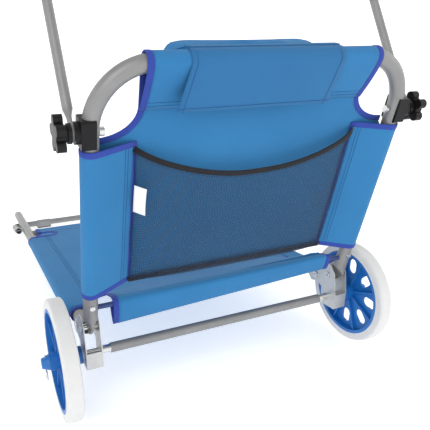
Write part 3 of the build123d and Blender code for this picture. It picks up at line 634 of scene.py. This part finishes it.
# ---------------------------------------------------------------- back
@dataclass
class BackCloth:
    """The back's canvas: front sheet with its sleeve over the top bar, and a sleeve on each side tube."""

    sheet_low: float = 50.0
    sleeve_low_outer: float = 47.0
    sleeve_low_inner: float = 52.0
    sleeve_high: float = 277.0
    seam_x: float = 172.0
    top_half: float = 161.0
    cut_high: float = 322.0
    cut_out_x: float = 222.0
    top_hem: float = 318.0
    binding: float = 8.5

    def half_width(self, s: Array) -> Array:
        """Half width of the front sheet at height s: full, then a quarter circle in to the top sleeve."""
        span = self.cut_high - self.sleeve_high
        t = np.clip((self.cut_high - s) / span, 0, 1)
        curve = self.top_half + (self.cut_out_x - self.top_half) * (1 - np.sqrt(np.clip(1 - t * t, 0, 1)))
        ease = smooth_step(s, self.sleeve_high - 14, self.sleeve_high - 1)
        return np.where(s < self.sleeve_high, LAYOUT.side_x + (self.cut_out_x - LAYOUT.side_x) * ease, curve)

    def sheet_profile(self) -> tuple[Array, Array]:
        """Height and depth along the sheet: up the front, over the top bar, and down behind to its hem."""
        r, top = LAYOUT.cloth_r, LAYOUT.top_s
        low = np.linspace(self.sheet_low, self.sleeve_high - 1.5, 26)
        angle = np.linspace(0, math.pi / 2, 22)
        corner = self.cut_high - (self.cut_high - self.sleeve_high) * np.cos(angle)
        high = np.linspace(self.cut_high, top, 9)[1:]
        turn = np.linspace(0, math.radians(196), 18)[1:]
        s = np.concatenate([low, corner, high, top + r * np.sin(turn)])
        n = np.concatenate([np.full(26 + 22 + 8, r), r * np.cos(turn)])
        down = np.linspace(0, 1, 12)[1:]
        end_s, end_n = s[-1], n[-1]
        s = np.concatenate([s, end_s + (self.top_hem - end_s) * down])
        n = np.concatenate([n, end_n + (r - 3.0 - end_n) * down ** 1.25])
        return s, n

    def sheet_points(self) -> Array:
        """The front sheet as a grid, dished forward a little between its tubes."""
        s, n = self.sheet_profile()
        front = np.arange(len(s)) < 26 + 22 + 8
        half = np.where(front, self.half_width(s), self.top_half)
        u = np.linspace(-1, 1, 61)[:, None]
        x = u * half[None]
        dish = 1.2 * (1 - u ** 2) * smooth_step(s, 60, 120)[None] * (1 - smooth_step(s, 300, 360))[None]
        wave = ripple(x, s[None] + 0 * u, 0.9, 3) * front[None] * (1 - smooth_step(s, 330, 372))[None]
        return LAYOUT.back(x, n[None] - dish * front[None] + wave * (1 - np.abs(u) ** 4), s[None] + 0 * u)

    def sleeve_points(self, side: int) -> Array:
        """A side sleeve: from the front of the tube round its outside and flat behind to the inner seam."""
        r = LAYOUT.cloth_r
        turn = np.linspace(math.pi / 2, math.radians(-112), 22)
        x_round = LAYOUT.side_x + r * np.cos(turn)
        n_round = r * np.sin(turn)
        t = np.linspace(0, 1, 14)[1:]
        x = np.concatenate([x_round, x_round[-1] + (self.seam_x - x_round[-1]) * t])
        n = np.concatenate([n_round, n_round[-1] + (r - 2.2 - n_round[-1]) * t ** 1.05])
        share = np.clip((LAYOUT.side_x + r - x) / (LAYOUT.side_x + r - self.seam_x), 0, 1)
        low = (self.sleeve_low_outer
               + (self.sleeve_low_inner - self.sleeve_low_outer) * np.clip(share, 0.25, 1.0))
        v = np.linspace(0, 1, 40)[None]
        s = low[:, None] + (self.sleeve_high - low[:, None]) * v
        wave = ripple(s, x[:, None] + 0 * v, 0.8, 11 + side) * smooth_step(share, 0.3, 0.6)[:, None]
        return LAYOUT.back(side * x[:, None] + 0 * v, n[:, None] + wave, s)

    def build(self) -> None:
        """Makes the sheet, the sleeves, their bindings and their stitching."""
        sheet = self.sheet_points()
        body = place(cloth_grid("back_cloth", sheet), Finish.CANVAS, "canvas", "backrest")
        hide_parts("backrest_sling")
        extras, seams = [], []
        s, n = self.sheet_profile()
        front_out = LAYOUT.back(0, 1, 0) - LAYOUT.back(0, 0, 0)
        front_out = front_out / np.linalg.norm(front_out)
        turned = self.outwards(s, n)
        for side, word in ((-1, "left"), (1, "right")):
            column = 0 if side < 0 else -1
            edge, outs = sheet[column, 26:], turned[26:]
            extras.append(swept_tape(f"back_edge_binding_{word}", edge, outs, self.binding, 2.6, -side * 3.2))
            sleeve = self.sleeve_points(side)
            cloth = place(cloth_grid(f"back_sleeve_{word}", sleeve), Finish.CANVAS, "canvas", "backrest")
            sleeve_extras = []
            outward = self.sleeve_out(sleeve)
            for place_name, index in (("top", -1), ("foot", 0)):
                sleeve_extras.append(swept_tape(f"back_sleeve_{place_name}_binding_{word}", sleeve[:, index],
                                                outward[:, index], self.binding, 2.4,
                                                side * (3.0 if index == 0 else -3.0)))
            sleeve_extras.append(swept_tape(f"back_sleeve_seam_binding_{word}", sleeve[-1], -front_out, 5.5, 2.2,
                                            side * -1.0))
            for extra in sleeve_extras:
                place(extra, Finish.BINDING, "canvas", "backrest")
            for row in (-3, -4):
                seams.append((sleeve[row] - front_out * 0.0007, -front_out))
        for back_by in (6.0, 12.0):
            hem = self.hem_line(sheet, back_by)
            seams.append((hem, -front_out))
        for extra in extras:
            place(extra, Finish.BINDING, "canvas", "backrest")
        sewn = place(stitch_rows("back_stitching", seams), Finish.THREAD, "canvas", "backrest")

    def outwards(self, s: Array, n: Array) -> Array:
        """Outward directions along the sheet's profile, square to it in the back's side view."""
        ds, dn = np.gradient(s), np.gradient(n)
        size = np.hypot(ds, dn) + 1e-9
        points = LAYOUT.back(0, ds / size * 1000, -dn / size * 1000) - LAYOUT.back(0, 0, 0)
        return points / np.linalg.norm(points, axis=-1, keepdims=True)

    def sleeve_out(self, sleeve: Array) -> Array:
        """Unit normals of a sleeve's grid, away from its tube."""
        across, along = np.gradient(sleeve, axis=0), np.gradient(sleeve, axis=1)
        normal = np.cross(across, along)
        normal /= np.linalg.norm(normal, axis=-1, keepdims=True) + 1e-12
        centre = sleeve[:22].mean(axis=(0, 1))
        away = ((sleeve[10] - centre) * normal[10]).sum(-1).mean()
        return normal if away > 0 else -normal

    def hem_line(self, sheet: Array, inside: float) -> Array:
        """The line on the rear of the top sleeve that lies inside millimetres above its hem."""
        run = arc_lengths(sheet[30:31], 1)[0]
        column = int(np.searchsorted(run, run[-1] - inside * MM))
        back_way = LAYOUT.back(0, -1, 0) - LAYOUT.back(0, 0, 0)
        return sheet[:, column] + back_way / np.linalg.norm(back_way) * 0.0007


@dataclass
class PocketNet:
    """The net pocket behind the back, with its tapes and a blank tag."""

    half: float = 172.0
    low: float = 53.0
    high: float = 271.0
    sag: float = 44.0
    depth: float = 25.0
    front: float = 9.5
    tape: float = 8.0

    def top(self, x: Array) -> Array:
        """Height of the mouth: it hangs as a parabola between the sleeves."""
        return self.high - self.sag * (1 - (x / self.half) ** 2)

    def depth_at(self, x: Array, t: Array) -> Array:
        """How far the net stands behind the sheet: full in the middle, none at the seams and the foot."""
        wide = np.clip(1 - np.abs(x / self.half) ** 6, 0, 1) ** 0.7
        rise = np.sqrt(np.clip(1 - (1 - np.clip(t / 0.16, 0, 1)) ** 2, 0, 1))
        slack = 1 - 0.30 * smooth_step(t, 0.55, 1.0)
        return self.depth * wide * rise * slack

    def point(self, x: Array, t: Array, proud: float = 0.0) -> Array:
        """A point of the net at x and at share t of its height, standing proud by some millimetres."""
        s = self.low + (self.top(x) - self.low) * t
        wave = ripple(x, s, 1.2, 21) * smooth_step(t, 0.05, 0.3) * (1 - np.abs(x / self.half) ** 4)
        return LAYOUT.back(x, self.front - self.depth_at(x, t) - wave - proud, s)

    def build(self) -> None:
        """Makes the net, its two tapes, the tag and a row of stitching under the mouth."""
        x = np.linspace(-self.half, self.half, 97)[:, None]
        t = np.linspace(0, 1, 49)[None] ** 1.25
        points = self.point(x + 0 * t, t + 0 * x)
        net = place(cloth_grid("pocket_net", points, 0.3), Finish.NET, "net", "backrest")
        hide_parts("mesh_pocket")
        rear = LAYOUT.back(0, -1, 0) - LAYOUT.back(0, 0, 0)
        rear = rear / np.linalg.norm(rear)
        line = np.linspace(-self.half, self.half, 97)
        mouth = self.point(line, np.full(97, 0.985), 0.6)
        foot = LAYOUT.back(line, np.full(97, self.front - 2.0), self.low + 2.0 + 0 * line)
        top_tape = place(swept_tape("pocket_mouth_tape", mouth, rear, self.tape, 2.2),
                         Finish.TAPE, "tape", "backrest")
        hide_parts("pocket_top_binding")
        foot_tape = place(swept_tape("pocket_foot_tape", foot, rear, self.tape, 2.4),
                          Finish.TAPE, "tape", "backrest")
        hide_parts("pocket_bottom_binding")
        tag = place(self.tag(), Finish.LABEL, "canvas", "backrest")
        edge = self.point(line, np.full(97, 0.955), 1.6)
        sewn = place(stitch_rows("pocket_stitching", [(edge, rear)], 4.0), Finish.TAPE, "tape", "backrest")

    def tag(self) -> bpy.types.Object:
        """A small blank folded tag sewn in at the left seam."""
        u = np.linspace(0, 1, 9)[:, None]
        v = np.linspace(0, 1, 13)[None]
        x = -175.0 + 13.0 * u + 0 * v
        s = 184.0 + 40.0 * v - 1.5 * u
        n = -6.0 - 12.0 * u + 1.5 * np.sin(math.pi * v) * u
        return cloth_grid("pocket_tag", LAYOUT.back(x, n, s), 0.5)


@dataclass
class HeadCushion:
    """The stuffed head cushion in front of the top bar and the flap that hooks it there."""

    shift: float = -19.0
    width: float = 234.0
    thick: float = 42.0
    height: float = 148.0
    flap_shift: float = -11.0
    flap_width: float = 219.0
    flap_low: float = 322.0
    flap_skew: float = 8.0
    flap_reach: float = 15.0
    lift: float = 8.0
    cap: float = 6.0

    def shell(self) -> bpy.types.Object:
        """A crowned box: a cube-sphere grid pushed out to a superellipsoid of the cushion's sizes."""
        count = 29
        u = np.linspace(-1, 1, count)
        a, b = np.meshgrid(u, u, indexing="ij")
        one = np.ones_like(a)
        sides = [np.stack(v, -1) for v in ((a, b, one), (b, a, -one), (one, a, b),
                                           (-one, b, a), (b, one, a), (a, -one, b))]
        cube = np.stack(sides)
        size = (np.abs(cube) ** 9).sum(-1, keepdims=True) ** (1 / 9)
        ball = cube / size
        half = np.array([self.width / 2 - 5, self.thick / 2 - 5, self.height / 2 - 5])
        local = ball * half
        high = LAYOUT.top_s + LAYOUT.cloth_r + self.lift
        points = LAYOUT.back(local[..., 0] + self.shift,
                             local[..., 1] + LAYOUT.cloth_r + 0.6 + self.thick / 2,
                             local[..., 2] + high - self.height / 2)
        quads = np.concatenate([grid_faces(count, count) + k * count * count for k in range(6)])
        return mesh_object("head_cushion", points.reshape(-1, 3), quads)

    def stuffed(self, piece: bpy.types.Object) -> None:
        """Blows the closed shell up as cloth under pressure, then caps how far each point has moved."""
        scene = bpy.context.scene
        bpy.context.view_layer.objects.active = piece
        piece.select_set(True)
        weld = piece.modifiers.new("weld", "WELD")
        weld.merge_threshold = 0.0005
        bpy.ops.object.modifier_apply(modifier="weld")
        remesh = piece.modifiers.new("voxels", "REMESH")
        remesh.mode = "VOXEL"
        remesh.voxel_size = 0.0048
        bpy.ops.object.modifier_apply(modifier="voxels")
        count = len(piece.data.vertices)
        rest = np.zeros(count * 3, np.float32)
        piece.data.vertices.foreach_get("co", rest)
        cloth = piece.modifiers.new("stuffing", "CLOTH")
        cloth.settings.quality = 5
        cloth.settings.use_pressure = True
        cloth.settings.uniform_pressure_force = 4.0
        cloth.settings.effector_weights.gravity = 0.0
        for number in range(1, 21):
            scene.frame_set(number)
        bpy.ops.object.modifier_apply(modifier="stuffing")
        scene.frame_set(1)
        moved = np.zeros(count * 3, np.float32)
        piece.data.vertices.foreach_get("co", moved)
        rest, moved = rest.reshape(-1, 3), moved.reshape(-1, 3)
        step = moved - rest
        far = np.linalg.norm(step, axis=1, keepdims=True) + 1e-9
        step *= np.minimum(1.0, self.cap * MM / far)
        piece.data.vertices.foreach_set("co", (rest + step).ravel())
        piece.data.update()
        piece.select_set(False)

    def flap_profile(self) -> tuple[Array, Array]:
        """Depth and height along the flap: from the cushion's top, over the bar, and down behind."""
        r, top = LAYOUT.cloth_r + 1.4, LAYOUT.top_s
        turn = np.linspace(0, math.pi, 20)
        n = np.concatenate([np.linspace(self.flap_reach, r * 0.35, 8), r * np.cos(turn[7:]), np.full(14, -r)])
        s = np.concatenate([np.full(8, top + r + 1.2) - np.linspace(1.5, 0.2, 8), top + r * np.sin(turn[7:]),
                            np.linspace(top, self.flap_low, 15)[1:]])
        drop = np.clip((top - s) / (top - self.flap_low), 0, 1)
        return n + 1.5 * np.sin(drop * math.pi) * -0.4, s

    def build(self) -> None:
        """Makes the cushion, its piping, and the flap with its stitching."""
        piece = self.shell()
        self.stuffed(piece)
        smooth = piece.modifiers.new("soft", "SUBSURF")
        smooth.levels = smooth.render_levels = 1
        piece.data.polygons.foreach_set("use_smooth", np.ones(len(piece.data.polygons), bool))
        self.unwrap(piece)
        place(piece, Finish.CANVAS, "canvas", "backrest")
        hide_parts("head_pillow")
        for word, depth in (("front", self.thick - 4.5), ("rear", 4.5)):
            place(self.piping(piece, word, depth), Finish.CANVAS, "canvas", "backrest")
        n, s = self.flap_profile()
        u = np.linspace(-1, 1, 33)[:, None]
        hang = np.clip((LAYOUT.top_s - s) / (LAYOUT.top_s - self.flap_low), 0, 1)[None]
        x = self.flap_shift + u * (self.flap_width / 2) + self.flap_skew * (0.7 - 1.7 * hang)
        wave = ripple(x, s[None] + n[None], 0.7, 31) * np.clip((LAYOUT.top_s - s) / 30, 0, 1)[None]
        points = LAYOUT.back(x, n[None] - np.abs(wave), s[None] + 0 * u)
        flap = place(cloth_grid("cushion_flap", points, 0.9), Finish.FLAP, "canvas", "backrest")
        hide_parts("pillow_flap")
        rear = LAYOUT.back(0, -1, 0) - LAYOUT.back(0, 0, 0)
        rear = rear / np.linalg.norm(rear)
        lines = [(points[row, 12:] + rear * 0.0008, rear) for row in (1, -2)]
        lines.append((points[:, -2] + rear * 0.0008, rear))
        sewn = place(stitch_rows("flap_stitching", lines), Finish.THREAD, "canvas", "backrest")

    def unwrap(self, piece: bpy.types.Object) -> None:
        """Uv in metres: every face takes the two directions that its normal faces least."""
        mesh = piece.data
        layer = mesh.uv_layers.new(name="cloth")
        corners = np.zeros(len(mesh.loops), np.int32)
        mesh.loops.foreach_get("vertex_index", corners)
        points = np.zeros(len(mesh.vertices) * 3, np.float32)
        mesh.vertices.foreach_get("co", points)
        normals = np.zeros(len(mesh.polygons) * 3, np.float32)
        mesh.polygons.foreach_get("normal", normals)
        totals = np.zeros(len(mesh.polygons), np.int32)
        mesh.polygons.foreach_get("loop_total", totals)
        main = np.repeat(np.abs(normals.reshape(-1, 3)).argmax(1), totals)
        at = points.reshape(-1, 3)[corners]
        first = np.where(main == 0, at[:, 1], at[:, 0])
        second = np.where(main == 2, at[:, 1], at[:, 2])
        layer.data.foreach_set("uv", np.stack([first, second], 1).astype(np.float32).ravel())

    def piping(self, cushion: bpy.types.Object, word: str, depth: float) -> bpy.types.Object:
        """A sewn ridge round one face: a rounded rectangle at that depth, drawn in to the cushion's skin."""
        angle = np.linspace(0, 2 * math.pi, 161)
        wide = np.sign(np.cos(angle)) * np.abs(np.cos(angle)) ** 0.18
        high = np.sign(np.sin(angle)) * np.abs(np.sin(angle)) ** 0.18
        scale = (np.abs(wide) ** 10 + np.abs(high) ** 10) ** (-0.1)
        x = self.shift + wide * scale * (self.width / 2 - 1.5)
        centre = LAYOUT.top_s + LAYOUT.cloth_r + self.lift - self.height / 2
        s = centre + high * scale * (self.height / 2 - 1.5)
        path = LAYOUT.back(x, LAYOUT.cloth_r + 0.6 + depth + 0 * x, s)
        skin = np.zeros(len(cushion.data.vertices) * 3, np.float32)
        cushion.data.vertices.foreach_get("co", skin)
        skin = skin.reshape(-1, 3)
        far = np.linalg.norm(path[:, None] - skin[None], axis=-1)
        path = skin[np.argsort(far, axis=1)[:, :5]].mean(axis=1)
        for _ in range(3):
            path[:-1] = (np.roll(path[:-1], 1, axis=0) + 2 * path[:-1] + np.roll(path[:-1], -1, axis=0)) / 4
            path[-1] = path[0]
        middle = path[:-1].mean(axis=0)
        return swept_tape(f"cushion_piping_{word}", path, path - middle, 2.4, 2.4)


# ---------------------------------------------------------------- seat
@dataclass
class SeatCloth:
    """The seat's canvas, from its sleeve on the back's lower bar to its hem round the front bar."""

    rear_half: float = 190.0
    seam_x: float = 204.0
    sleeve_rear: float = 80.0
    sleeve_front: float = 545.0
    front_bar_y: float = 636.0
    front_half: float = 214.0
    bar_r: float = 9.6
    loop_r: float = 6.0
    hem_run: float = 46.0
    bar_s: float = 20.0
    rise: float = 46.0
    rise_end: float = 270.0

    def bar_place(self) -> tuple[float, float]:
        """(y, z) of the back's lower bar."""
        y = LAYOUT.back_foot_y - self.bar_s * math.sin(LAYOUT.lean)
        return y, LAYOUT.back_foot_z + self.bar_s * math.cos(LAYOUT.lean)

    def half_width(self, y: Array) -> Array:
        """Half width of the top sheet: it widens to the sleeves, dips at the front cut-outs and widens
        to the hem."""
        rear = self.rear_half + (self.seam_x - self.rear_half) * smooth_step(y, 10, self.sleeve_rear)
        middle = np.clip((y - self.sleeve_front) / 50.0, 0, 1)
        dip = 28.0 * np.sqrt(np.clip(1 - (2 * middle - 1) ** 2, 0, 1))
        front = smooth_step(y, self.sleeve_front + 36, self.sleeve_front + 50)
        return rear - dip + (self.front_half - self.seam_x) * front

    def top_z(self, x: Array, y: Array) -> Array:
        """Height of the taut sheet: the sleeves' plane, raised towards the back's bar, less so at the
        sleeves."""
        side = LAYOUT.seat_z(y) + LAYOUT.cloth_r
        t = np.clip((y + 8) / (self.rise_end + 8), 0, 1)
        hold = smooth_step(y, 15, 115) * np.abs(x / self.seam_x) ** 2.5
        sag = 5.0 * np.sin(math.pi * np.clip((y - 120) / 520, 0, 1)) * (1 - (x / 215) ** 2)
        return side + self.rise * (1 - t) ** 1.6 * (1 - np.clip(hold, 0, 1)) - sag

    def loop_profile(self) -> tuple[Array, Array]:
        """(y, z) round the back's lower bar: up over it from the seat, down behind, and back under to
        the seam."""
        y0, z0 = self.bar_place()
        r = self.loop_r
        turn = np.linspace(math.radians(62), math.radians(190), 18)
        y = y0 + r * np.cos(turn)
        z = z0 + r * np.sin(turn)
        fall = np.linspace(0, 1, 12)[1:]
        y = np.concatenate([y, y[-1] + (y0 + 0.5 - y[-1]) * fall ** 1.6])
        z = np.concatenate([z, z[-1] + (154.5 - z[-1]) * fall])
        under = np.linspace(0, 1, 12)[1:]
        bend = np.sin(under * math.pi) * 2.0
        y = np.concatenate([y, y[-1] + (y0 + 17.0 - y[-1]) * under + 0.6 * bend])
        z = np.concatenate([z, z[-1] + (z0 + 3.0 - z[-1]) * under ** 1.4 - 1.0])
        return y, z

    def sheet_points(self) -> Array:
        """The whole sheet as one grid: loop, seat, and hem round the front bar."""
        loop_y, loop_z = self.loop_profile()
        loop_y, loop_z = loop_y[::-1], loop_z[::-1]
        start = loop_y[-1] + 3.0
        y = np.concatenate([np.linspace(start, self.sleeve_front, 56),
                            np.linspace(self.sleeve_front, self.front_bar_y - 6, 34)[1:]])
        u = np.linspace(-1, 1, 61)[:, None]
        half = self.half_width(y)
        x = u * half[None]
        z = self.top_z(x, y[None] + 0 * u)
        bar_z = LAYOUT.seat_z(self.front_bar_y)
        ease = smooth_step(y, self.front_bar_y - 50, self.front_bar_y - 6)[None]
        z = z * (1 - ease) + (bar_z + self.bar_r + 0.2) * ease
        z = (z + ripple(x, y[None] + 0 * u, 1.1, 41) * (1 - np.abs(u) ** 4)
             * smooth_step(y, 10, 60)[None] * (1 - ease))
        seat = np.stack([x, y[None] + 0 * x, z], -1)
        meet = z[:, 0]
        loop = np.stack([u * self.rear_half + 0 * loop_y[None],
                         loop_y[None] + 0 * u, loop_z[None] + 0 * u], -1)
        lift = smooth_step(np.arange(len(loop_y)), len(loop_y) - 8, len(loop_y) - 1)[None]
        loop[..., 2] += (meet[:, None] + 1.0 - loop_z[-1]) * lift * 0.5
        hang = np.clip((loop_z.max() - loop_z) / (loop_z.max() - loop_z.min()), 0, 1)[None]
        loop[..., 2] += ((2.0 + 9.0 * u) * hang + (3.0 + 3.0 * u) * (1 - hang)) * (1 - lift)
        turn = np.linspace(math.radians(80), math.radians(-120), 18)
        r = self.bar_r + 0.2
        hem_y = np.concatenate([self.front_bar_y + r * np.cos(turn)])
        hem_z = bar_z + r * np.sin(turn)
        back_run = np.linspace(0, 1, 10)[1:]
        hem_end_y = self.front_bar_y - self.hem_run
        hem_end_z = float(LAYOUT.seat_z(hem_end_y)) + LAYOUT.cloth_r - 2.4
        hem_y = np.concatenate([hem_y, hem_y[-1] + (hem_end_y - hem_y[-1]) * back_run])
        hem_z = np.concatenate([hem_z, hem_z[-1] + (hem_end_z - hem_z[-1]) * back_run])
        hem = np.stack([u * self.front_half + 0 * hem_y[None], hem_y[None] + 0 * u, hem_z[None] + 0 * u], -1)
        return LAYOUT.to_row(np.concatenate([loop, seat, hem], axis=1))

    def sleeve_points(self, side: int) -> Array:
        """A side sleeve: from the seam over the tube's top, round its outside and back under to the seam."""
        r = LAYOUT.cloth_r
        turn = np.linspace(math.pi / 2, math.radians(-112), 22)
        y = np.linspace(self.sleeve_rear, self.sleeve_front, 60)[None]
        tube_x = LAYOUT.side_x + (LAYOUT.seat_x - LAYOUT.side_x) * smooth_step(y, 72, 112)
        flat = np.linspace(0, 1, 8)[:-1][:, None]
        x_top = self.seam_x + (tube_x - self.seam_x) * flat
        x_round = tube_x + r * np.cos(turn)[:, None]
        z_top = np.full((7, 1), r)
        z_round = r * np.sin(turn)[:, None]
        under = np.linspace(0, 1, 10)[1:][:, None]
        x_under = x_round[-1:] + (self.seam_x - x_round[-1:]) * under
        z_under = z_round[-1:] + (r - 2.4 - z_round[-1:]) * under
        x = np.concatenate([x_top, x_round, x_under])
        z = np.concatenate([z_top + 0 * y, z_round + 0 * y, z_under + 0 * y])
        rows = np.arange(len(x))[:, None]
        wave = ripple(y, x, 0.7, 51 + side) * ((rows > 0) & (rows < 6) | (rows > 30))
        return LAYOUT.to_row(np.stack([side * x, y + 0 * x, LAYOUT.seat_z(y) + z + wave], -1))

    def bend(self, piece: bpy.types.Object) -> None:
        """Bakes a piece's placement into its mesh; the start and end of a bend between the seat and the back are
        worked out, but nothing bends the piece.
        """
        y0, z0 = self.bar_place()
        start = LAYOUT.to_row(np.array([0, 112.0, 132.0]))
        end = LAYOUT.to_row(np.array([0, y0 + 13.0, z0 + 4.0]))
        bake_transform(piece)
        LOG.info("%s bends between chassis and backrest", piece.name)

    def build(self) -> None:
        """Makes the sheet, its sleeves, bindings and stitching."""
        points = self.sheet_points()
        sheet = dress(cloth_grid("seat_cloth", points), Finish.CANVAS)
        self.bend(sheet)
        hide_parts("seat_sling", "seat_rear_sleeve")
        across, along = np.gradient(points, axis=0), np.gradient(points, axis=1)
        normal = np.cross(across, along)
        normal /= np.linalg.norm(normal, axis=-1, keepdims=True) + 1e-12
        up = np.array([0.0, 0.0, 1.0])
        extras, seams = [], []
        loop_count = 40
        seat_count = 56 + 33
        for side, word in ((-1, "left"), (1, "right")):
            column = 0 if side < 0 else -1
            rear = points[column, 2:loop_count + 14]
            tape = dress(swept_tape(f"seat_rear_binding_{word}", rear, normal[column, 2:loop_count + 14],
                                    9.0, 2.6, side * 3.4), Finish.BINDING)
            self.bend(tape)
            extras.append(tape)
            first = loop_count + 55
            front = points[column, first:]
            extras.append(place(swept_tape(f"seat_front_binding_{word}", front, normal[column, first:],
                                           9.0, 2.6, side * 3.4), Finish.BINDING, "canvas", "chassis"))
            sleeve = self.sleeve_points(side)
            cloth = place(cloth_grid(f"seat_sleeve_{word}", sleeve), Finish.CANVAS, "canvas", "chassis")
            centre = LAYOUT.to_row(np.stack([side * (LAYOUT.seat_x - 8) + 0 * sleeve[:, 0, 0],
                                             0 * sleeve[:, 0, 0], 0 * sleeve[:, 0, 0]], -1))
            for end_word, index in (("rear", 0), ("front", -1)):
                ring = sleeve[:, index]
                away = ring - np.array([centre[0, 0], 0, ring[:, 2].mean()])
                away[:, 1] = 0
                place(swept_tape(f"seat_sleeve_{end_word}_binding_{word}", ring, away, 8.0, 2.6,
                                             side * (3.0 if index == 0 else -3.0)),
                                  Finish.BINDING, "canvas", "chassis")
            for row in (1,):
                seams.append((sleeve[row] + up * 0.0006, up))
        at = int(np.argmin(np.abs(points[30, :loop_count + seat_count, 1]
                                  - LAYOUT.to_row(np.array([0, self.front_bar_y - self.hem_run + 4, 0]))[1])))
        for column in (at, at + 2):
            seams.append((points[2:-2, column] + up * 0.0006, up))
        stitches = place(stitch_rows("seat_stitching", seams), Finish.THREAD, "canvas", "chassis")


# ---------------------------------------------------------------- frame and stage
@dataclass
class HardParts:
    """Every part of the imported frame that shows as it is."""

    def build(self) -> None:
        """Gives each shown CAD node the finish of its record slot, but the back's lower bar, a silver tube, gets
        a dark blue that is painted shade and a painted reflection of the cloth around it.
        """
        for row in frame["record"]["subparts"]:
            piece = frame["nodes"][row["node"]]
            # painted shade and reflection: the silver lower bar is dressed dark blue for the shade it lies in
            # and the cloth reflected on it
            blue = row["node"] == "backrest_lower_bar"
            dress(piece, Finish.BAR_SHADE if blue else SLOT_FINISH[row["material_slot"]])
            LOG.info("%s dressed as %s", row["node"], row["material_slot"])


@dataclass
class Studio:
    """Pale floor, soft lights and the camera."""

    eye: tuple[float, float, float] = (-0.3722, -1.0594, 0.5717)
    azimuth: float = 23.19
    fall: float = 21.59
    lens: float = 43.13
    shift_x: float = 0.085
    shift_y: float = 0.029

    def camera(self) -> None:
        """Stands the camera behind and to the left of the cart, looking down a little."""
        data = bpy.data.cameras.new("camera")
        data.lens, data.sensor_width = self.lens, 36.0
        data.shift_x, data.shift_y = self.shift_x, self.shift_y
        camera = bpy.data.objects.new("camera", data)
        bpy.context.scene.collection.objects.link(camera)
        a, e = math.radians(self.azimuth), math.radians(self.fall)
        look = Vector((math.sin(a) * math.cos(e), math.cos(a) * math.cos(e), -math.sin(e)))
        camera.location = self.eye
        camera.rotation_mode = "QUATERNION"
        camera.rotation_quaternion = look.to_track_quat("-Z", "Y")
        bpy.context.scene.camera = camera

    def floor(self) -> None:
        """A wide floor that curves up far behind the cart: z rises as the square past its edge."""
        x = np.linspace(-9, 9, 41)[:, None]
        y = np.linspace(-9, 9, 41)[None]
        far = np.clip(np.hypot(x, y) - 4.5, 0, None)
        points = np.stack([x + 0 * y, y + 0 * x, 0.25 * far ** 2], -1)
        floor = mesh_object("floor", points.reshape(-1, 3), grid_faces(41, 41))
        material, tree, shader = new_material("pale_floor")
        where = tree.add("ShaderNodeTexCoord")
        noise = tree.add("ShaderNodeTexNoise", {"Vector": where.outputs["Object"], "Scale": 3.0})
        tree.tree.links.new(toned(tree, (0.86, 0.86, 0.86), (0.90, 0.90, 0.90), noise.outputs[0]),
                            shader.inputs["Base Color"])
        shader.inputs["Roughness"].default_value = 0.85
        shader.inputs["Emission Color"].default_value = (1.0, 1.0, 1.0, 1.0)
        shader.inputs["Emission Strength"].default_value = 0.5
        floor.data.materials.append(material)

    def light(self, name: str, at: tuple, size: float, power: float) -> None:
        """One soft square light that faces the cart."""
        data = bpy.data.lights.new(name, "AREA")
        data.size, data.energy = size, power
        lamp = bpy.data.objects.new(name, data)
        bpy.context.scene.collection.objects.link(lamp)
        lamp.location = at
        lamp.rotation_mode = "QUATERNION"
        lamp.rotation_quaternion = (Vector((0, 0, 0.25)) - Vector(at)).to_track_quat("-Z", "Y")

    def build(self) -> None:
        """Makes camera, floor, lights and a white surround."""
        self.camera()
        self.floor()
        self.light("key", (-1.6, -2.2, 2.6), 2.2, 29.0)
        self.light("fill", (2.6, -1.4, 1.8), 2.4, 12.0)
        self.light("top", (0.2, 0.8, 3.2), 2.6, 9.0)
        world = bpy.data.worlds.new("surround")
        world.use_nodes = True
        sky = world.node_tree.nodes["Background"]
        sky.inputs[0].default_value = (1.0, 1.0, 1.0, 1.0)
        sky.inputs[1].default_value = 0.5
        bpy.context.scene.world = world
        bpy.context.scene.view_settings.view_transform = "Standard"


def main() -> None:
    """Builds the cart's looks in order."""
    logging.basicConfig(level=logging.INFO)
    for part in (Studio(), HardParts(), BackCloth(), PocketNet(), HeadCushion(), SeatCloth()):
        part.build()
        LOG.info("%s is done", type(part).__name__)


if __name__ == "__main__":
    main()
